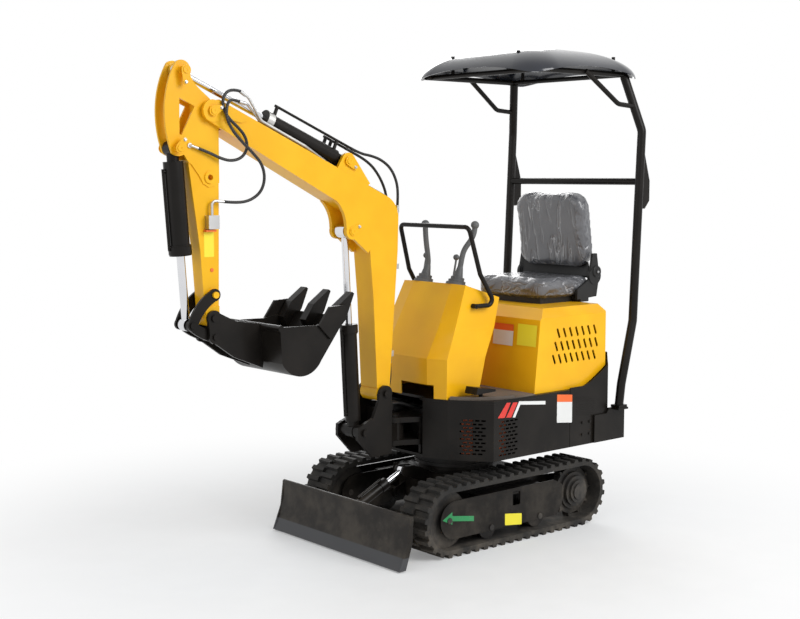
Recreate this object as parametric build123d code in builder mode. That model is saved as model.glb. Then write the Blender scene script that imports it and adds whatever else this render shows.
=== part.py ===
"""One-tonne mini excavator with tracks, blade, swing boom, bucket and open canopy.

Millimetres. +Z is up, -Y is the machine's front and +X its left side.
The ground is Z = 0. Side profiles are drawn as (y, z) pairs measured from
the slew axis, and plan outlines as (x, y) pairs measured from the same axis.
"""
from build123d import *
import math
import os

# Overall layout
slew_y = 371.2            # slew axis behind the middle of the whole machine
running_gap = 5.0         # between pieces that move past each other
seat_gap = 0.3            # between pieces that rest on each other
pin_play = 0.5            # between a pin and the bore that turns on it

# Tracks
track_inner_x = 270.0
track_width = 180.0
track_wheelbase = 874.0
track_height = 336.0
lug_height = 15.0
belt_thickness = 20.0
lug_count_straight = 16
lug_count_turn = 9

# Side frames inside the tracks
side_plate_thickness = 6.0
side_plate_inset = 20.0
side_plate_low = 78.0
side_plate_high = 255.0
side_plate_front = -490.0
side_plate_rear = 312.0
pad_thickness = 14.0
roller_width = 84.0
roller_places = (-170.0, 155.0)
roller_height = 92.0

# Carbody between the tracks
carbody_half_length = 215.0
carbody_low = 150.0
carbody_high = 300.0
ring_radius = 205.0
ring_top = 394.0

# Blade
blade_half_width = 476.5
blade_thickness = 8.0
blade_pivot = (-262.0, 172.0)
blade_arm_x = 165.0
blade_arm_width = 40.0
blade_clevis = (-668.0, 168.0)
blade_rod_pin = (-352.0, 318.0)
blade_barrel_radius = 24.0
blade_rod_radius = 12.5

# House
deck_low = 400.0
deck_high = 684.0
deck_plate = 12.0
wall = 5.0
house_half_width = 430.0
house_rear = 700.0
panel_joint_y = 360.0
louvre_places = (-58.0, 152.0)
louvre_centre_z = 520.0
louvre_pitch = 34.0
louvre_row = 18.0
louvre_length = 24.0
louvre_height = 8.0
louvre_columns = 4
louvre_pairs = 5          # pairs of staggered rows
swing_axis_y = -410.0
tail_corner = 60.0
nose_radius = 58.0
nose_top = (563.0, 588.0)
nose_low = (455.0, 480.0)
swing_pin_radius = 20.0
bulkhead_y = -230.0
guide_y = -464.0
guide_z = (632.0, 668.0)

# Engine hood and console
engine_half_width = 170.0
engine_front = 340.0
engine_rear = 640.0
engine_top = 850.0
hood_half_width = 405.0
hood_front_low = 134.0
hood_front_high = 172.0
hood_top = 1087.0
hood_wall = 4.0
hood_bevel = 60.0
skirt_top = 838.0
sweep_start = (440.0, 684.3)
sweep_end = (700.0, 846.0)
console_top_front = (-150.0, 1212.0)
console_slope = 17.5
foot_notch_x = 78.0
foot_notch_width = 219.0
foot_notch_height = 64.0

# Floor
pedal_foot = (330.0, -150.0)
mat_thickness = 6.0
mat_rim = 16.0

# Seat
cushion_low = 1118.0
cushion_half_width = 240.0
cushion_front = 345.0
cushion_depth = 400.0
cushion_thickness = 92.0
back_foot = (722.0, 1250.0)
back_length = 400.0
back_lean = 8.0
back_thickness = 80.0

# Canopy
post_radius = 22.0
post_x = 452.0
shelf_top = 566.0
rail_x = 385.0
rail_z = 2226.0
rail_radius = 14.0
cross_rail_radius = 12.0
rail_start = 140.0
rail_end = 790.0
roof_stud_radius = 9.0
roof_studs = ((230.0, 184.0, 2323.0), (316.0, 776.0, 2318.0))   # across, along, top
crossbar_z = 1696.0
crossbar_radius = 17.0
roof_front = 70.0
roof_rear = 890.0
roof_half_width = 455.0
roof_corner = 165.0
roof_rim_z = 2208.0
roof_rise = 150.0
roof_arch = 42.0          # lift of each rim in its middle
roof_wall = 6.0

post_foot_y = 701.0
post_plate = 12.0

# Digging arm: widths across the machine
boom_half_width = 60.0
fork_plate = 16.0
tip_plate = 6.0
ear_inner = 44.0
ear_plate = 20.0
arm_half_width = 40.0
arm_plate = 10.0
eye_half_width = 28.0

# Digging arm: pin centres as (y, z)
boom_foot = (-521.0, 718.0)
lift_low_pin = (-650.0, 548.0)
lift_rod_pin = (-698.0, 1476.0)
crowd_low_pin = (-714.0, 1792.0)
crowd_rod_pin = (-1561.0, 2153.0)
arm_pivot = (-1435.0, 1993.0)
curl_low_pin = (-1593.0, 1838.0)
rocker_pin = (-1429.6, 1229.0)
curl_rod_pin = (-1539.1, 1106.8)
bucket_pin = (-1435.0, 1131.2)
link_pin = (-1431.2, 1051.6)
lock_bore = (-1438.0, 1719.0)
lock_bore_radius = 12.5
lock_boss_radius = 26.0
lock_boss_height = 6.0
arm_step = 5.0            # how far the arm's sides lie inside its head plates
arm_step_low = 1180.0

# Cylinders: barrel and rod radii, and where the barrel ends from its own pin
lift_barrel_radius = 36.0
lift_rod_radius = 16.0
lift_barrel_length = 490.0
crowd_barrel_radius = 34.0
crowd_rod_radius = 15.0
crowd_barrel_length = 452.0
curl_barrel_radius = 42.0
curl_rod_radius = 17.5
curl_barrel_length = 432.0
blade_barrel_length = 230.0
cap_depth = 30.0          # solid end of a barrel beyond its radius
rod_end_gap = 6.0

# Shortest lengths between a cylinder's pins, with its joint at the end of its travel
lift_shortest = 688.0
crowd_shortest = 656.0
curl_shortest = 584.0
blade_shortest = 298.0

# Pipes and hoses
pipe_radius = 6.0
pipe_stand = 11.0
hose_radius = 6.5
fitting_radius = 8.5
crowd_pipe_gap = 28.0     # between the arm cylinder's barrel and its pipes
crowd_pipe_end = -12.0    # pipe mouths, from the barrel's own pin

# Bucket
bucket_half_width = 200.0
bucket_side = 10.0
bucket_sheet = 10.0
bucket_ear_inner = 44.0
bucket_ear = 14.0
tooth_width = 44.0
tooth_spacing = 170.0


def side_plane(x=0.0):
    """Plane across the machine at x: its x runs to the rear, its y runs up."""
    return Plane(origin=(x, slew_y, 0), x_dir=(0, 1, 0), z_dir=(1, 0, 0))


def plan_plane(z=0.0):
    """Level plane at height z, centred on the slew axis."""
    return Plane(origin=(0, slew_y, z))


def place(x, y, z):
    """Point measured from the slew axis, in the machine's frame."""
    return (x, slew_y + y, z)


def add_plate(points, x_from, x_to):
    """Flat plate with a side outline, between two places across the machine."""
    with BuildSketch(side_plane(x_from)) as outline:
        with BuildLine():
            Polyline(*points, close=True)
        make_face()
    extrude(outline.sketch, amount=x_to - x_from)


def add_disc(centre, radius, x_from, x_to, mode=Mode.ADD):
    """Round boss or hole across the machine, centred on a (y, z) pair."""
    with BuildSketch(side_plane(x_from)) as outline:
        with Locations(centre):
            Circle(radius)
    extrude(outline.sketch, amount=x_to - x_from, mode=mode)


def add_bar(start, end, radius):
    """Round bar between two points given from the slew axis."""
    a = Vector(*place(*start))
    b = Vector(*place(*end))
    axis = Plane(origin=a, z_dir=(b - a))
    with BuildSketch(axis) as section:
        Circle(radius)
    extrude(section.sketch, amount=(b - a).length)


def add_tube(points, radius, bends):
    """Bent tube in its straight stretches and bends, through points from the slew axis."""
    with BuildLine() as route:
        FilletPolyline(*[place(*point) for point in points], radius=bends)
    for stretch in route.edges():
        with BuildSketch(Plane(origin=stretch @ 0, z_dir=stretch % 0)) as section:
            Circle(radius)
        if stretch.geom_type == GeomType.LINE:
            extrude(section.sketch, amount=stretch.length)
        else:
            sweep(section.sketch, path=stretch)


def along(start, end, distance):
    """Point on the line from one (y, z) pair towards another."""
    length = math.dist(start, end)
    share = distance / length
    return (start[0] + (end[0] - start[0]) * share, start[1] + (end[1] - start[1]) * share)


def save(builder, label):
    """Names a finished piece and writes it."""
    builder.part.label = label
    export_step(builder.part, "parts/" + label + ".step")


os.makedirs("parts", exist_ok=True)
track_radius = track_height / 2
track_mid_x = track_inner_x + track_width / 2
wheel_y = track_wheelbase / 2
wheel_z = track_radius
belt_inner_radius = track_radius - lug_height - belt_thickness


# Track belts with two staggered rows of lugs
def loop_point(distance, radius):
    """Point of the track loop at a distance along it, on a given radius."""
    turn = math.pi * track_radius
    lap = 2 * track_wheelbase + 2 * turn
    s = distance % lap
    if s < track_wheelbase:
        return (-wheel_y + s, wheel_z - radius)
    s -= track_wheelbase
    if s < turn:
        a = -math.pi / 2 + s / track_radius
        return (wheel_y + radius * math.cos(a), wheel_z + radius * math.sin(a))
    s -= turn
    if s < track_wheelbase:
        return (wheel_y - s, wheel_z + radius)
    s -= track_wheelbase
    a = math.pi / 2 + s / track_radius
    return (-wheel_y + radius * math.cos(a), wheel_z + radius * math.sin(a))


def lug_outline(offset):
    """Outline of the loop with its lugs, shifted along it by a share of a pitch."""
    turn = math.pi * track_radius
    lap = 2 * track_wheelbase + 2 * turn
    lugs = 2 * (lug_count_straight + lug_count_turn)
    pitch = lap / lugs
    root = track_radius - lug_height
    points = []
    for number in range(lugs):
        start = (number + offset) * pitch
        points.append(loop_point(start + 0.05 * pitch, root))
        points.append(loop_point(start + 0.14 * pitch, track_radius))
        points.append(loop_point(start + 0.50 * pitch, track_radius))
        points.append(loop_point(start + 0.59 * pitch, root))
    return points


def build_track(side, label):
    """Closed belt of one track."""
    rows = ((track_inner_x, 0.0), (track_mid_x, 0.5))
    with BuildPart() as belt:
        for start_x, offset in rows:
            with BuildSketch(side_plane(start_x)) as row:
                with BuildLine():
                    Polyline(*lug_outline(offset), close=True)
                make_face()
                with Locations((0, wheel_z)):
                    SlotCenterToCenter(track_wheelbase, 2 * belt_inner_radius, mode=Mode.SUBTRACT)
            extrude(row.sketch, amount=track_width / 2)
        if side < 0:
            mirror(about=Plane.YZ, mode=Mode.REPLACE)
    save(belt, label)


build_track(1, "track_belt_left")
build_track(-1, "track_belt_right")


# Side frames, rollers, idlers and drive sprockets
plate_outer_x = track_inner_x + track_width - side_plate_inset
plate_inner_x = track_inner_x + side_plate_inset
roller_radius = roller_height - (track_radius - belt_inner_radius) - seat_gap
axle_radius = 14.0
idler_radius = belt_inner_radius - seat_gap
sprocket_root = idler_radius - 16.0


def side_outline():
    """Long side plate with a round nose at the idler."""
    middle = (side_plate_low + side_plate_high) / 2
    nose = (side_plate_high - side_plate_low) / 2
    with BuildLine() as profile:
        edge = first = Line((side_plate_front + nose, side_plate_low),
                            (side_plate_rear - 40, side_plate_low))
        edge = Line(edge @ 1, (side_plate_rear, side_plate_low + 50))
        edge = Line(edge @ 1, (side_plate_rear, side_plate_high - 30))
        edge = Line(edge @ 1, (side_plate_rear - 60, side_plate_high))
        edge = Line(edge @ 1, (side_plate_front + nose, side_plate_high))
        edge = ThreePointArc(edge @ 1, (side_plate_front, middle), (side_plate_front + nose, side_plate_low))
    return profile.line


def build_side_frame(side, label):
    """Two plates, the top web, and the motor housing's tail."""
    plate_places = (plate_inner_x, plate_outer_x - side_plate_thickness)
    with BuildPart() as frame:
        for start_x in plate_places:
            with BuildSketch(side_plane(start_x)) as plate:
                add(side_outline())
                make_face()
                with Locations(*[(y, roller_height) for y in roller_places]):
                    Circle(axle_radius + pin_play, mode=Mode.SUBTRACT)
                with Locations((-wheel_y, wheel_z)):
                    Circle(axle_radius + pin_play, mode=Mode.SUBTRACT)
            extrude(plate.sketch, amount=side_plate_thickness)
        with BuildSketch(plan_plane(side_plate_high - 30)) as web:
            with Locations(((plate_inner_x + plate_outer_x) / 2, 20)):
                Rectangle(plate_outer_x - plate_inner_x, 420)
        extrude(web.sketch, amount=8)
        with BuildSketch(side_plane(plate_outer_x - side_plate_thickness)) as slot:
            with Locations((-5, 205)):
                RectangleRounded(50, 66, 6)
        extrude(slot.sketch, amount=side_plate_thickness, mode=Mode.SUBTRACT)
        with BuildSketch(side_plane(plate_inner_x - pad_thickness)) as pads:
            with BuildLine():
                Polyline((185, 90), (430, 100), (430, 240), (185, 255), close=True)
            make_face()
            with Locations((-110, 212), (110, 212)):
                Rectangle(130, 80)
        extrude(pads.sketch, amount=pad_thickness)
        if side < 0:
            mirror(about=Plane.YZ, mode=Mode.REPLACE)
    save(frame, label)


def build_rollers(side, label):
    """Bottom rollers and the front idler on their axles."""
    width_start = track_mid_x - roller_width / 2
    axle_start = plate_inner_x - 4
    axle_end = plate_outer_x + 4
    with BuildPart() as rollers:
        for y in roller_places:
            add_disc((y, roller_height), roller_radius, width_start, width_start + 24)
            add_disc((y, roller_height), roller_radius - 12,
                     width_start + 24, width_start + roller_width - 24)
            add_disc((y, roller_height), roller_radius, width_start + roller_width - 24,
                     width_start + roller_width)
            add_disc((y, roller_height), axle_radius, axle_start, axle_end)
        centre = (-wheel_y, wheel_z)
        add_disc(centre, idler_radius, width_start, width_start + 26)
        add_disc(centre, idler_radius - 16, width_start + 26, width_start + roller_width - 26)
        add_disc(centre, idler_radius, width_start + roller_width - 26, width_start + roller_width)
        add_disc(centre, axle_radius, axle_start, axle_end)
        if side < 0:
            mirror(about=Plane.YZ, mode=Mode.REPLACE)
    save(rollers, label)


def build_sprocket(side, label):
    """Toothed drive wheel with a stepped hub and its motor."""
    teeth = 11
    start_x = track_mid_x - 20
    centre = (wheel_y, wheel_z)
    with BuildPart() as sprocket:
        with BuildSketch(side_plane(start_x)) as ring:
            with Locations(centre):
                Circle(sprocket_root)
            with Locations(centre):
                with PolarLocations(sprocket_root, teeth):
                    Trapezoid(30, 32, 70, rotation=-90, align=(Align.CENTER, Align.CENTER))
            with Locations(centre):
                Circle(idler_radius, mode=Mode.INTERSECT)
        extrude(ring.sketch, amount=40)
        hub_steps = ((92, 20, 34), (74, 34, 52), (56, 52, 66), (40, 66, 74))
        for radius, low, high in hub_steps:
            add_disc(centre, radius, track_mid_x + low, track_mid_x + high)
        add_disc(centre, 70, plate_inner_x, start_x)
        if side < 0:
            mirror(about=Plane.YZ, mode=Mode.REPLACE)
    save(sprocket, label)


build_side_frame(1, "track_frame_left")
build_side_frame(-1, "track_frame_right")
build_rollers(1, "track_rollers_left")
build_rollers(-1, "track_rollers_right")
build_sprocket(1, "drive_sprocket_left")
build_sprocket(-1, "drive_sprocket_right")


# Carbody: centre box, legs to the side frames, blade pivots and cylinder lug
blade_eye_half = 17.0
lug_plate = 12.0
carbody_edge = plate_inner_x - pad_thickness - seat_gap
with BuildPart() as carbody:
    with BuildSketch(plan_plane(carbody_low)) as box:
        Rectangle(2 * 230, 2 * carbody_half_length)
    extrude(box.sketch, amount=carbody_high - carbody_low)
    with BuildSketch(plan_plane(carbody_low + 20)) as legs:
        with Locations((0, -110), (0, 110)):
            Rectangle(2 * carbody_edge, 130)
    extrude(legs.sketch, amount=90)
    with BuildSketch(plan_plane(carbody_high)) as turret:
        Circle(ring_radius - 20)
    extrude(turret.sketch, amount=24)
    for x in (-blade_arm_x, blade_arm_x):
        for start_x in (x - blade_arm_width / 2 - lug_plate - 1, x + blade_arm_width / 2 + 1):
            with BuildSketch(side_plane(start_x)) as lug:
                with Locations(blade_pivot):
                    Circle(30)
                with BuildLine():
                    Polyline((blade_pivot[0], 142), (-180, 152), (-180, 232), (blade_pivot[0], 202),
                             close=True)
                make_face()
            extrude(lug.sketch, amount=lug_plate)
        pin_half = blade_arm_width / 2 + lug_plate + 6
        add_disc(blade_pivot, 13, x - pin_half, x + pin_half)
    for start_x in (-blade_eye_half - 1 - lug_plate, blade_eye_half + 1):
        with BuildSketch(side_plane(start_x)) as lug:
            with Locations(blade_rod_pin):
                Circle(24)
            with BuildLine():
                Polyline((blade_rod_pin[0] - 12, 297), (-200, 236), (-200, 300), (-300, 338),
                         (blade_rod_pin[0] + 6, 341), close=True)
            make_face()
        extrude(lug.sketch, amount=lug_plate)
save(carbody, "carbody")

with BuildPart() as slew_ring:
    with BuildSketch(plan_plane(carbody_high + 24 + seat_gap)) as ring:
        Circle(ring_radius)
        Circle(ring_radius - 60, mode=Mode.SUBTRACT)
    extrude(ring.sketch, amount=ring_top - carbody_high - 24 - seat_gap - 0.5)
    with BuildSketch(plan_plane(carbody_high + 40)) as groove:
        Circle(ring_radius + 1)
        Circle(ring_radius - 8, mode=Mode.SUBTRACT)
    extrude(groove.sketch, amount=18, mode=Mode.SUBTRACT)
save(slew_ring, "slew_ring")


# Blade with its arms, end plates and cylinder lug
blade_foot = (-776.0, 6.0)
blade_mid = (-730.0, 120.0)
blade_head = (-715.0, 232.0)
with BuildPart() as blade:
    with BuildSketch(side_plane(-blade_half_width)) as sheet:
        with BuildLine():
            front = ThreePointArc(blade_foot, blade_mid, blade_head)
            Line(front @ 1, (blade_head[0] + blade_thickness, blade_head[1]))
            back = ThreePointArc((blade_head[0] + blade_thickness, blade_head[1]),
                                 (blade_mid[0] + blade_thickness, blade_mid[1] - 2),
                                 (blade_foot[0] + 14, blade_foot[1]))
            Line(back @ 1, blade_foot)
        make_face()
    extrude(sheet.sketch, amount=2 * blade_half_width)
    with BuildSketch(side_plane(-blade_half_width)) as top_roll:
        with Locations((blade_head[0] + 10, blade_head[1])):
            Circle(11)
    extrude(top_roll.sketch, amount=2 * blade_half_width)
    for start_x in (-blade_half_width, blade_half_width - 10):
        add_plate(((-776, 6), (-730, 120), (-715, 232), (-694, 232), (-700, 120), (-738, 6)),
                  start_x, start_x + 10)
    for x in (-blade_arm_x, blade_arm_x):
        with BuildSketch(side_plane(x - blade_arm_width / 2)) as blade_arm:
            with BuildLine():
                Polyline((blade_pivot[0], 147), (-560, 70), (-740, 40), (-722, 150), (-560, 150),
                         (blade_pivot[0], 197), close=True)
            make_face()
            with Locations(blade_pivot):
                Circle(25)
            with Locations(blade_pivot):
                Circle(13 + pin_play, mode=Mode.SUBTRACT)
        extrude(blade_arm.sketch, amount=blade_arm_width)
    with BuildSketch(side_plane(-blade_arm_x)) as cross_tube:
        with Locations((-640, 104)):
            Rectangle(60, 60)
    extrude(cross_tube.sketch, amount=2 * blade_arm_x)
    for start_x in (-blade_eye_half - 1 - lug_plate, blade_eye_half + 1):
        with BuildSketch(side_plane(start_x)) as lug:
            with Locations(blade_clevis):
                Circle(22)
            with BuildLine():
                Polyline((-722, 120), (-600, 110), (-640, 170), (-680, 190), (-716, 190), close=True)
            make_face()
        extrude(lug.sketch, amount=lug_plate)
    add_disc(blade_clevis, 9, -blade_eye_half - 6 - lug_plate, blade_eye_half + 6 + lug_plate)
save(blade, "blade")


# Hydraulic cylinders
def build_barrel(label, low_pin, rod_pin, radius, rod_radius, length, eye_half, pin_radius, side, pipes):
    """Barrel with its eye, end cap, gland and hard pipes along it.

    Each pipe is (x, gap, first station, last station), with stations measured
    from the barrel's own pin towards the rod.
    """
    direction = Vector(0, rod_pin[0] - low_pin[0], rod_pin[1] - low_pin[1]).normalized()
    outward = direction.cross(Vector(1, 0, 0)).normalized() * side

    def at(station, x=0.0, rise=0.0):
        y, z = along(low_pin, rod_pin, station)
        return (x, y + outward.Y * rise, z + outward.Z * rise)

    with BuildPart() as barrel:
        add_disc(low_pin, pin_radius + 16, -eye_half, eye_half)
        add_bar(at(pin_radius + 8), at(radius + 12), min(radius - 8, eye_half))
        add_bar(at(radius + 12), at(length), radius)
        add_bar(at(length - 34), at(length + 10), radius + 4)
        for x, gap, first, last in pipes:
            rise = radius + pipe_radius + gap
            add_bar(at(first, x, rise), at(last, x, rise), pipe_radius)
            for station in (max(first + 10, radius + 40), last - 12):
                add_bar(at(station, x), at(station, x, rise), pipe_radius + 2)
        bore_plane = Plane(origin=place(*at(radius + cap_depth)), z_dir=direction)
        with BuildSketch(bore_plane) as bore:
            Circle(rod_radius + pin_play)
        extrude(bore.sketch, amount=length, mode=Mode.SUBTRACT)
        add_disc(low_pin, pin_radius + pin_play, -eye_half - 1, eye_half + 1, mode=Mode.SUBTRACT)
    save(barrel, label)


def build_rod(label, low_pin, rod_pin, rod_radius, reach, eye_half, eye_radius, pin_radius, pin_half):
    """Rod with its eye, and the short pin that the eye carries."""
    inside = along(rod_pin, low_pin, reach)
    with BuildPart() as rod:
        add_bar((0, *inside), (0, *along(rod_pin, low_pin, eye_radius * 0.6)), rod_radius)
        add_disc(rod_pin, eye_radius, -eye_half, eye_half)
        add_disc(rod_pin, pin_radius, -pin_half, pin_half)
    save(rod, label)


lift_reach = lift_shortest - lift_barrel_radius - cap_depth - rod_end_gap
crowd_reach = crowd_shortest - crowd_barrel_radius - cap_depth - rod_end_gap
curl_reach = curl_shortest - curl_barrel_radius - cap_depth - rod_end_gap
blade_reach = blade_shortest - blade_barrel_radius - cap_depth - rod_end_gap

build_barrel("lift_cylinder_barrel", lift_low_pin, lift_rod_pin, lift_barrel_radius, lift_rod_radius,
             lift_barrel_length, eye_half_width, 17, -1, ((0, 3, 74, 476),))
build_rod("lift_cylinder_rod", lift_low_pin, lift_rod_pin, lift_rod_radius, lift_reach, 30, 32, 15, 36)
build_barrel("crowd_cylinder_barrel", crowd_low_pin, crowd_rod_pin, crowd_barrel_radius, crowd_rod_radius,
             crowd_barrel_length, eye_half_width, 15, 1,
             ((20, crowd_pipe_gap, crowd_pipe_end, 438), (-20, crowd_pipe_gap, crowd_pipe_end, 120)))
crowd_axis = Vector(0, crowd_rod_pin[0] - crowd_low_pin[0], crowd_rod_pin[1] - crowd_low_pin[1]).normalized()
crowd_out = crowd_axis.cross(Vector(1, 0, 0))
crowd_rise = crowd_barrel_radius + pipe_radius + crowd_pipe_gap
crowd_port = (crowd_low_pin[0] + crowd_axis.Y * crowd_pipe_end + crowd_out.Y * crowd_rise,
              crowd_low_pin[1] + crowd_axis.Z * crowd_pipe_end + crowd_out.Z * crowd_rise)
crowd_run = (crowd_port[0] - crowd_axis.Y, crowd_port[1] - crowd_axis.Z)
build_rod("crowd_cylinder_rod", crowd_low_pin, crowd_rod_pin, crowd_rod_radius, crowd_reach, 25, 30, 14, 29)
build_barrel("curl_cylinder_barrel", curl_low_pin, curl_rod_pin, curl_barrel_radius, curl_rod_radius,
             curl_barrel_length, 25, 15, 1, ((0, 3, 82, 418),))
build_rod("curl_cylinder_rod", curl_low_pin, curl_rod_pin, curl_rod_radius, curl_reach, 22, 26, 14, 24)
build_barrel("blade_cylinder_barrel", blade_clevis, blade_rod_pin, blade_barrel_radius, blade_rod_radius,
             blade_barrel_length, blade_eye_half, 9, -1, ((0, 3, 64, 216),))
build_rod("blade_cylinder_rod", blade_clevis, blade_rod_pin, blade_rod_radius, blade_reach, 15, 20, 9, 16)


# House: base plate, deck, nose, side panels and tail
def half_outline(inset):
    """Left half of the house's plan: broad corner at the front, small one at the tail."""
    half = house_half_width - inset
    corner = 0.45 * inset
    rear = house_rear - inset
    return [(130, -336 + inset), (260 - corner, -295 + inset), (half, -160 + corner),
            (half, rear - tail_corner), (half - tail_corner, rear)]


def house_outline(inset):
    """Plan of the whole house."""
    left = half_outline(inset)
    return left + [(-x, y) for x, y in reversed(left)]


def add_outline(points, z_from, z_to, mode=Mode.ADD):
    """Upright block with a plan outline."""
    with BuildSketch(plan_plane(z_from)) as outline:
        with BuildLine():
            Polyline(*points, close=True)
        make_face()
    extrude(outline.sketch, amount=z_to - z_from, mode=mode)


base_top = deck_low + deck_plate
with BuildPart() as house_frame:
    add_outline(house_outline(wall + seat_gap), deck_low, deck_low + deck_plate)
    with BuildSketch(plan_plane(ring_top)) as turntable:
        Circle(ring_radius - 5)
    extrude(turntable.sketch, amount=deck_low - ring_top)
    for low, high in (nose_low, nose_top):
        with BuildSketch(plan_plane(low)) as nose:
            with BuildLine():
                Polyline((-nose_radius, swing_axis_y), (-100, -325), (-100, -200), (100, -200), (100, -325),
                         (nose_radius, swing_axis_y), close=True)
            make_face()
            with Locations((0, swing_axis_y)):
                Circle(nose_radius)
        extrude(nose.sketch, amount=high - low)
    for x in (-100, 100 - 14):
        add_plate(((-322, nose_low[0]), (-322, nose_top[1]), (-200, nose_top[1]), (-200, 620), (300, 620),
                   (300, deck_low + 6), (-322, deck_low + 6)), x, x + 14)
    with BuildSketch(plan_plane(base_top)) as bulkhead:
        with Locations((0, bulkhead_y + 5)):
            Rectangle(172, 10)
    extrude(bulkhead.sketch, amount=208)
    with BuildSketch(plan_plane(nose_low[0] - 12)) as pin:
        with Locations((0, swing_axis_y)):
            Circle(swing_pin_radius)
    extrude(pin.sketch, amount=nose_top[1] + 12 - nose_low[0] + 12)
    with BuildSketch(plan_plane(nose_top[1])) as pin_head:
        with Locations((0, swing_axis_y)):
            Circle(32)
    extrude(pin_head.sketch, amount=10)
save(house_frame, "house_frame")

with BuildPart() as deck:
    left = half_outline(seat_gap)[:3] + [(house_half_width - seat_gap, panel_joint_y),
                                         (house_half_width - wall - seat_gap, panel_joint_y)]
    left += half_outline(wall + seat_gap)[3:]
    add_outline(left + [(-x, y) for x, y in reversed(left)], deck_high - deck_plate, deck_high)
    with BuildSketch(plan_plane(deck_high - deck_plate)) as openings:
        with Locations((0, (engine_front + engine_rear) / 2)):
            Rectangle(2 * engine_half_width + 40, engine_rear - engine_front + 40)
        with Locations((0, -336)):
            Rectangle(220, 60)
    extrude(openings.sketch, amount=deck_plate, mode=Mode.SUBTRACT)
save(deck, "deck_plate")


def louvre_cuts(x_from, x_to, centre_y):
    """Staggered rows of short slots."""
    with BuildSketch(side_plane(x_from)) as slots:
        for shift in (-0.25, 0.25):
            with Locations((centre_y + shift * louvre_pitch, louvre_centre_z + 2 * shift * louvre_row)):
                with GridLocations(louvre_pitch, 2 * louvre_row, louvre_columns, louvre_pairs):
                    SlotOverall(louvre_length, louvre_height)
    extrude(slots.sketch, amount=x_to - x_from, mode=Mode.SUBTRACT)


panel_top = deck_high - deck_plate - seat_gap
with BuildPart() as panels:
    outer = half_outline(0)[:3] + [(house_half_width, panel_joint_y)]
    inner = half_outline(wall)[:3] + [(house_half_width - wall, panel_joint_y)]
    add_outline(outer + inner[::-1], deck_low, panel_top)
    for centre_y in louvre_places:
        louvre_cuts(house_half_width - 2 * wall, house_half_width + wall, centre_y)
    mirror(about=Plane.YZ)
save(panels, "side_panels")


def rising_edge(lift):
    """Curve along which the hood's lower edge sweeps up to the tail."""
    return Spline((sweep_start[0], sweep_start[1] + lift), (520, 706 + lift), (610, 756 + lift),
                  (sweep_end[0], sweep_end[1] + lift), tangents=((1, 0), (0.45, 1)))


with BuildPart() as tail:
    tail_start = panel_joint_y + 3
    outer = [(house_half_width, tail_start)] + half_outline(0)[3:]
    inner = [(house_half_width - wall, tail_start)] + half_outline(wall)[3:]
    ring = outer + [(-x, y) for x, y in reversed(outer)] + [(-x, y) for x, y in inner] + inner[::-1]
    add_outline(ring, deck_low, skirt_top)
    with BuildSketch(side_plane(-500)) as sweep_cut:
        with BuildLine():
            rising = rising_edge(10)
            Polyline(rising @ 1, (sweep_end[0], skirt_top + 40), (tail_start - 20, skirt_top + 40),
                     (tail_start - 20, sweep_start[1] + 10), rising @ 0)
        make_face()
    extrude(sweep_cut.sketch, amount=1000, mode=Mode.SUBTRACT)
save(tail, "tail_skirt")


# Engine hood: leaning front, bevelled top edges and slotted sides
def hood_body(inset):
    """Outer or inner form of the hood, inset by a wall."""
    half = hood_half_width - inset
    low = sweep_start[1] - (1 if inset else 0)
    top = hood_top - inset
    front_low = hood_front_low + inset
    front_high = hood_front_high + inset
    rear = house_rear - 9 - inset
    with BuildPart() as body:
        with BuildSketch(side_plane(-half)) as outline:
            with BuildLine():
                Polyline((front_low, low), (rear, low), (rear, top - 100), (rear - 60, top),
                         (front_high + 60, top), (front_high, top - 50), close=True)
            make_face()
        extrude(outline.sketch, amount=2 * half)
        upper_side = body.faces().sort_by(Axis.Z)[-1].edges().filter_by(Axis.Y)
        chamfer(upper_side, hood_bevel * 0.7)
        upright = body.edges().filter_by(Axis.Z).group_by(Axis.Y)[-1]
        chamfer(upright, 45)
    return body.part


vent_rows = ((300.0, 565.0, 966.0, 7), (285.0, 575.0, 902.0, 8), (270.0, 560.0, 840.0, 8))
hood_outer = hood_body(0)
hood_inner = hood_body(hood_wall)
with BuildPart() as hood:
    add(hood_outer)
    add(hood_inner, mode=Mode.SUBTRACT)
    with BuildSketch(side_plane(-500)) as tail_cut:
        with BuildLine():
            rising = rising_edge(0)
            Polyline(rising @ 1, (760, sweep_end[1]), (760, sweep_start[1] - 2),
                     (sweep_start[0], sweep_start[1] - 2),
                     rising @ 0)
        make_face()
    extrude(tail_cut.sketch, amount=1000, mode=Mode.SUBTRACT)
    with BuildSketch(side_plane(-500)) as vents:
        for first, last, height, count in vent_rows:
            step = (last - first) / (count - 1)
            with Locations(*[(first + step * number, height) for number in range(count)]):
                SlotOverall(52, 13, rotation=112)
    extrude(vents.sketch, amount=1000, mode=Mode.SUBTRACT)
save(hood, "engine_hood")

with BuildPart() as engine:
    with BuildSketch(plan_plane(base_top + seat_gap)) as block:
        with Locations((0, (engine_front + engine_rear) / 2)):
            Rectangle(2 * engine_half_width, engine_rear - engine_front)
    extrude(block.sketch, amount=engine_top - base_top - seat_gap)
save(engine, "engine_block")

with BuildPart() as tank:
    with BuildSketch(plan_plane(base_top + seat_gap)) as block:
        with Locations((-280, 60)):
            RectangleRounded(150, 420, 20)
    extrude(block.sketch, amount=200)
save(tank, "oil_tank")


# Console in front of the operator
slope = math.radians(console_slope)


def console_top_z(y, depth=0.0):
    """Height of the sloping console top at y."""
    return console_top_front[1] - depth - (y - console_top_front[0]) * math.tan(slope)


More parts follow.
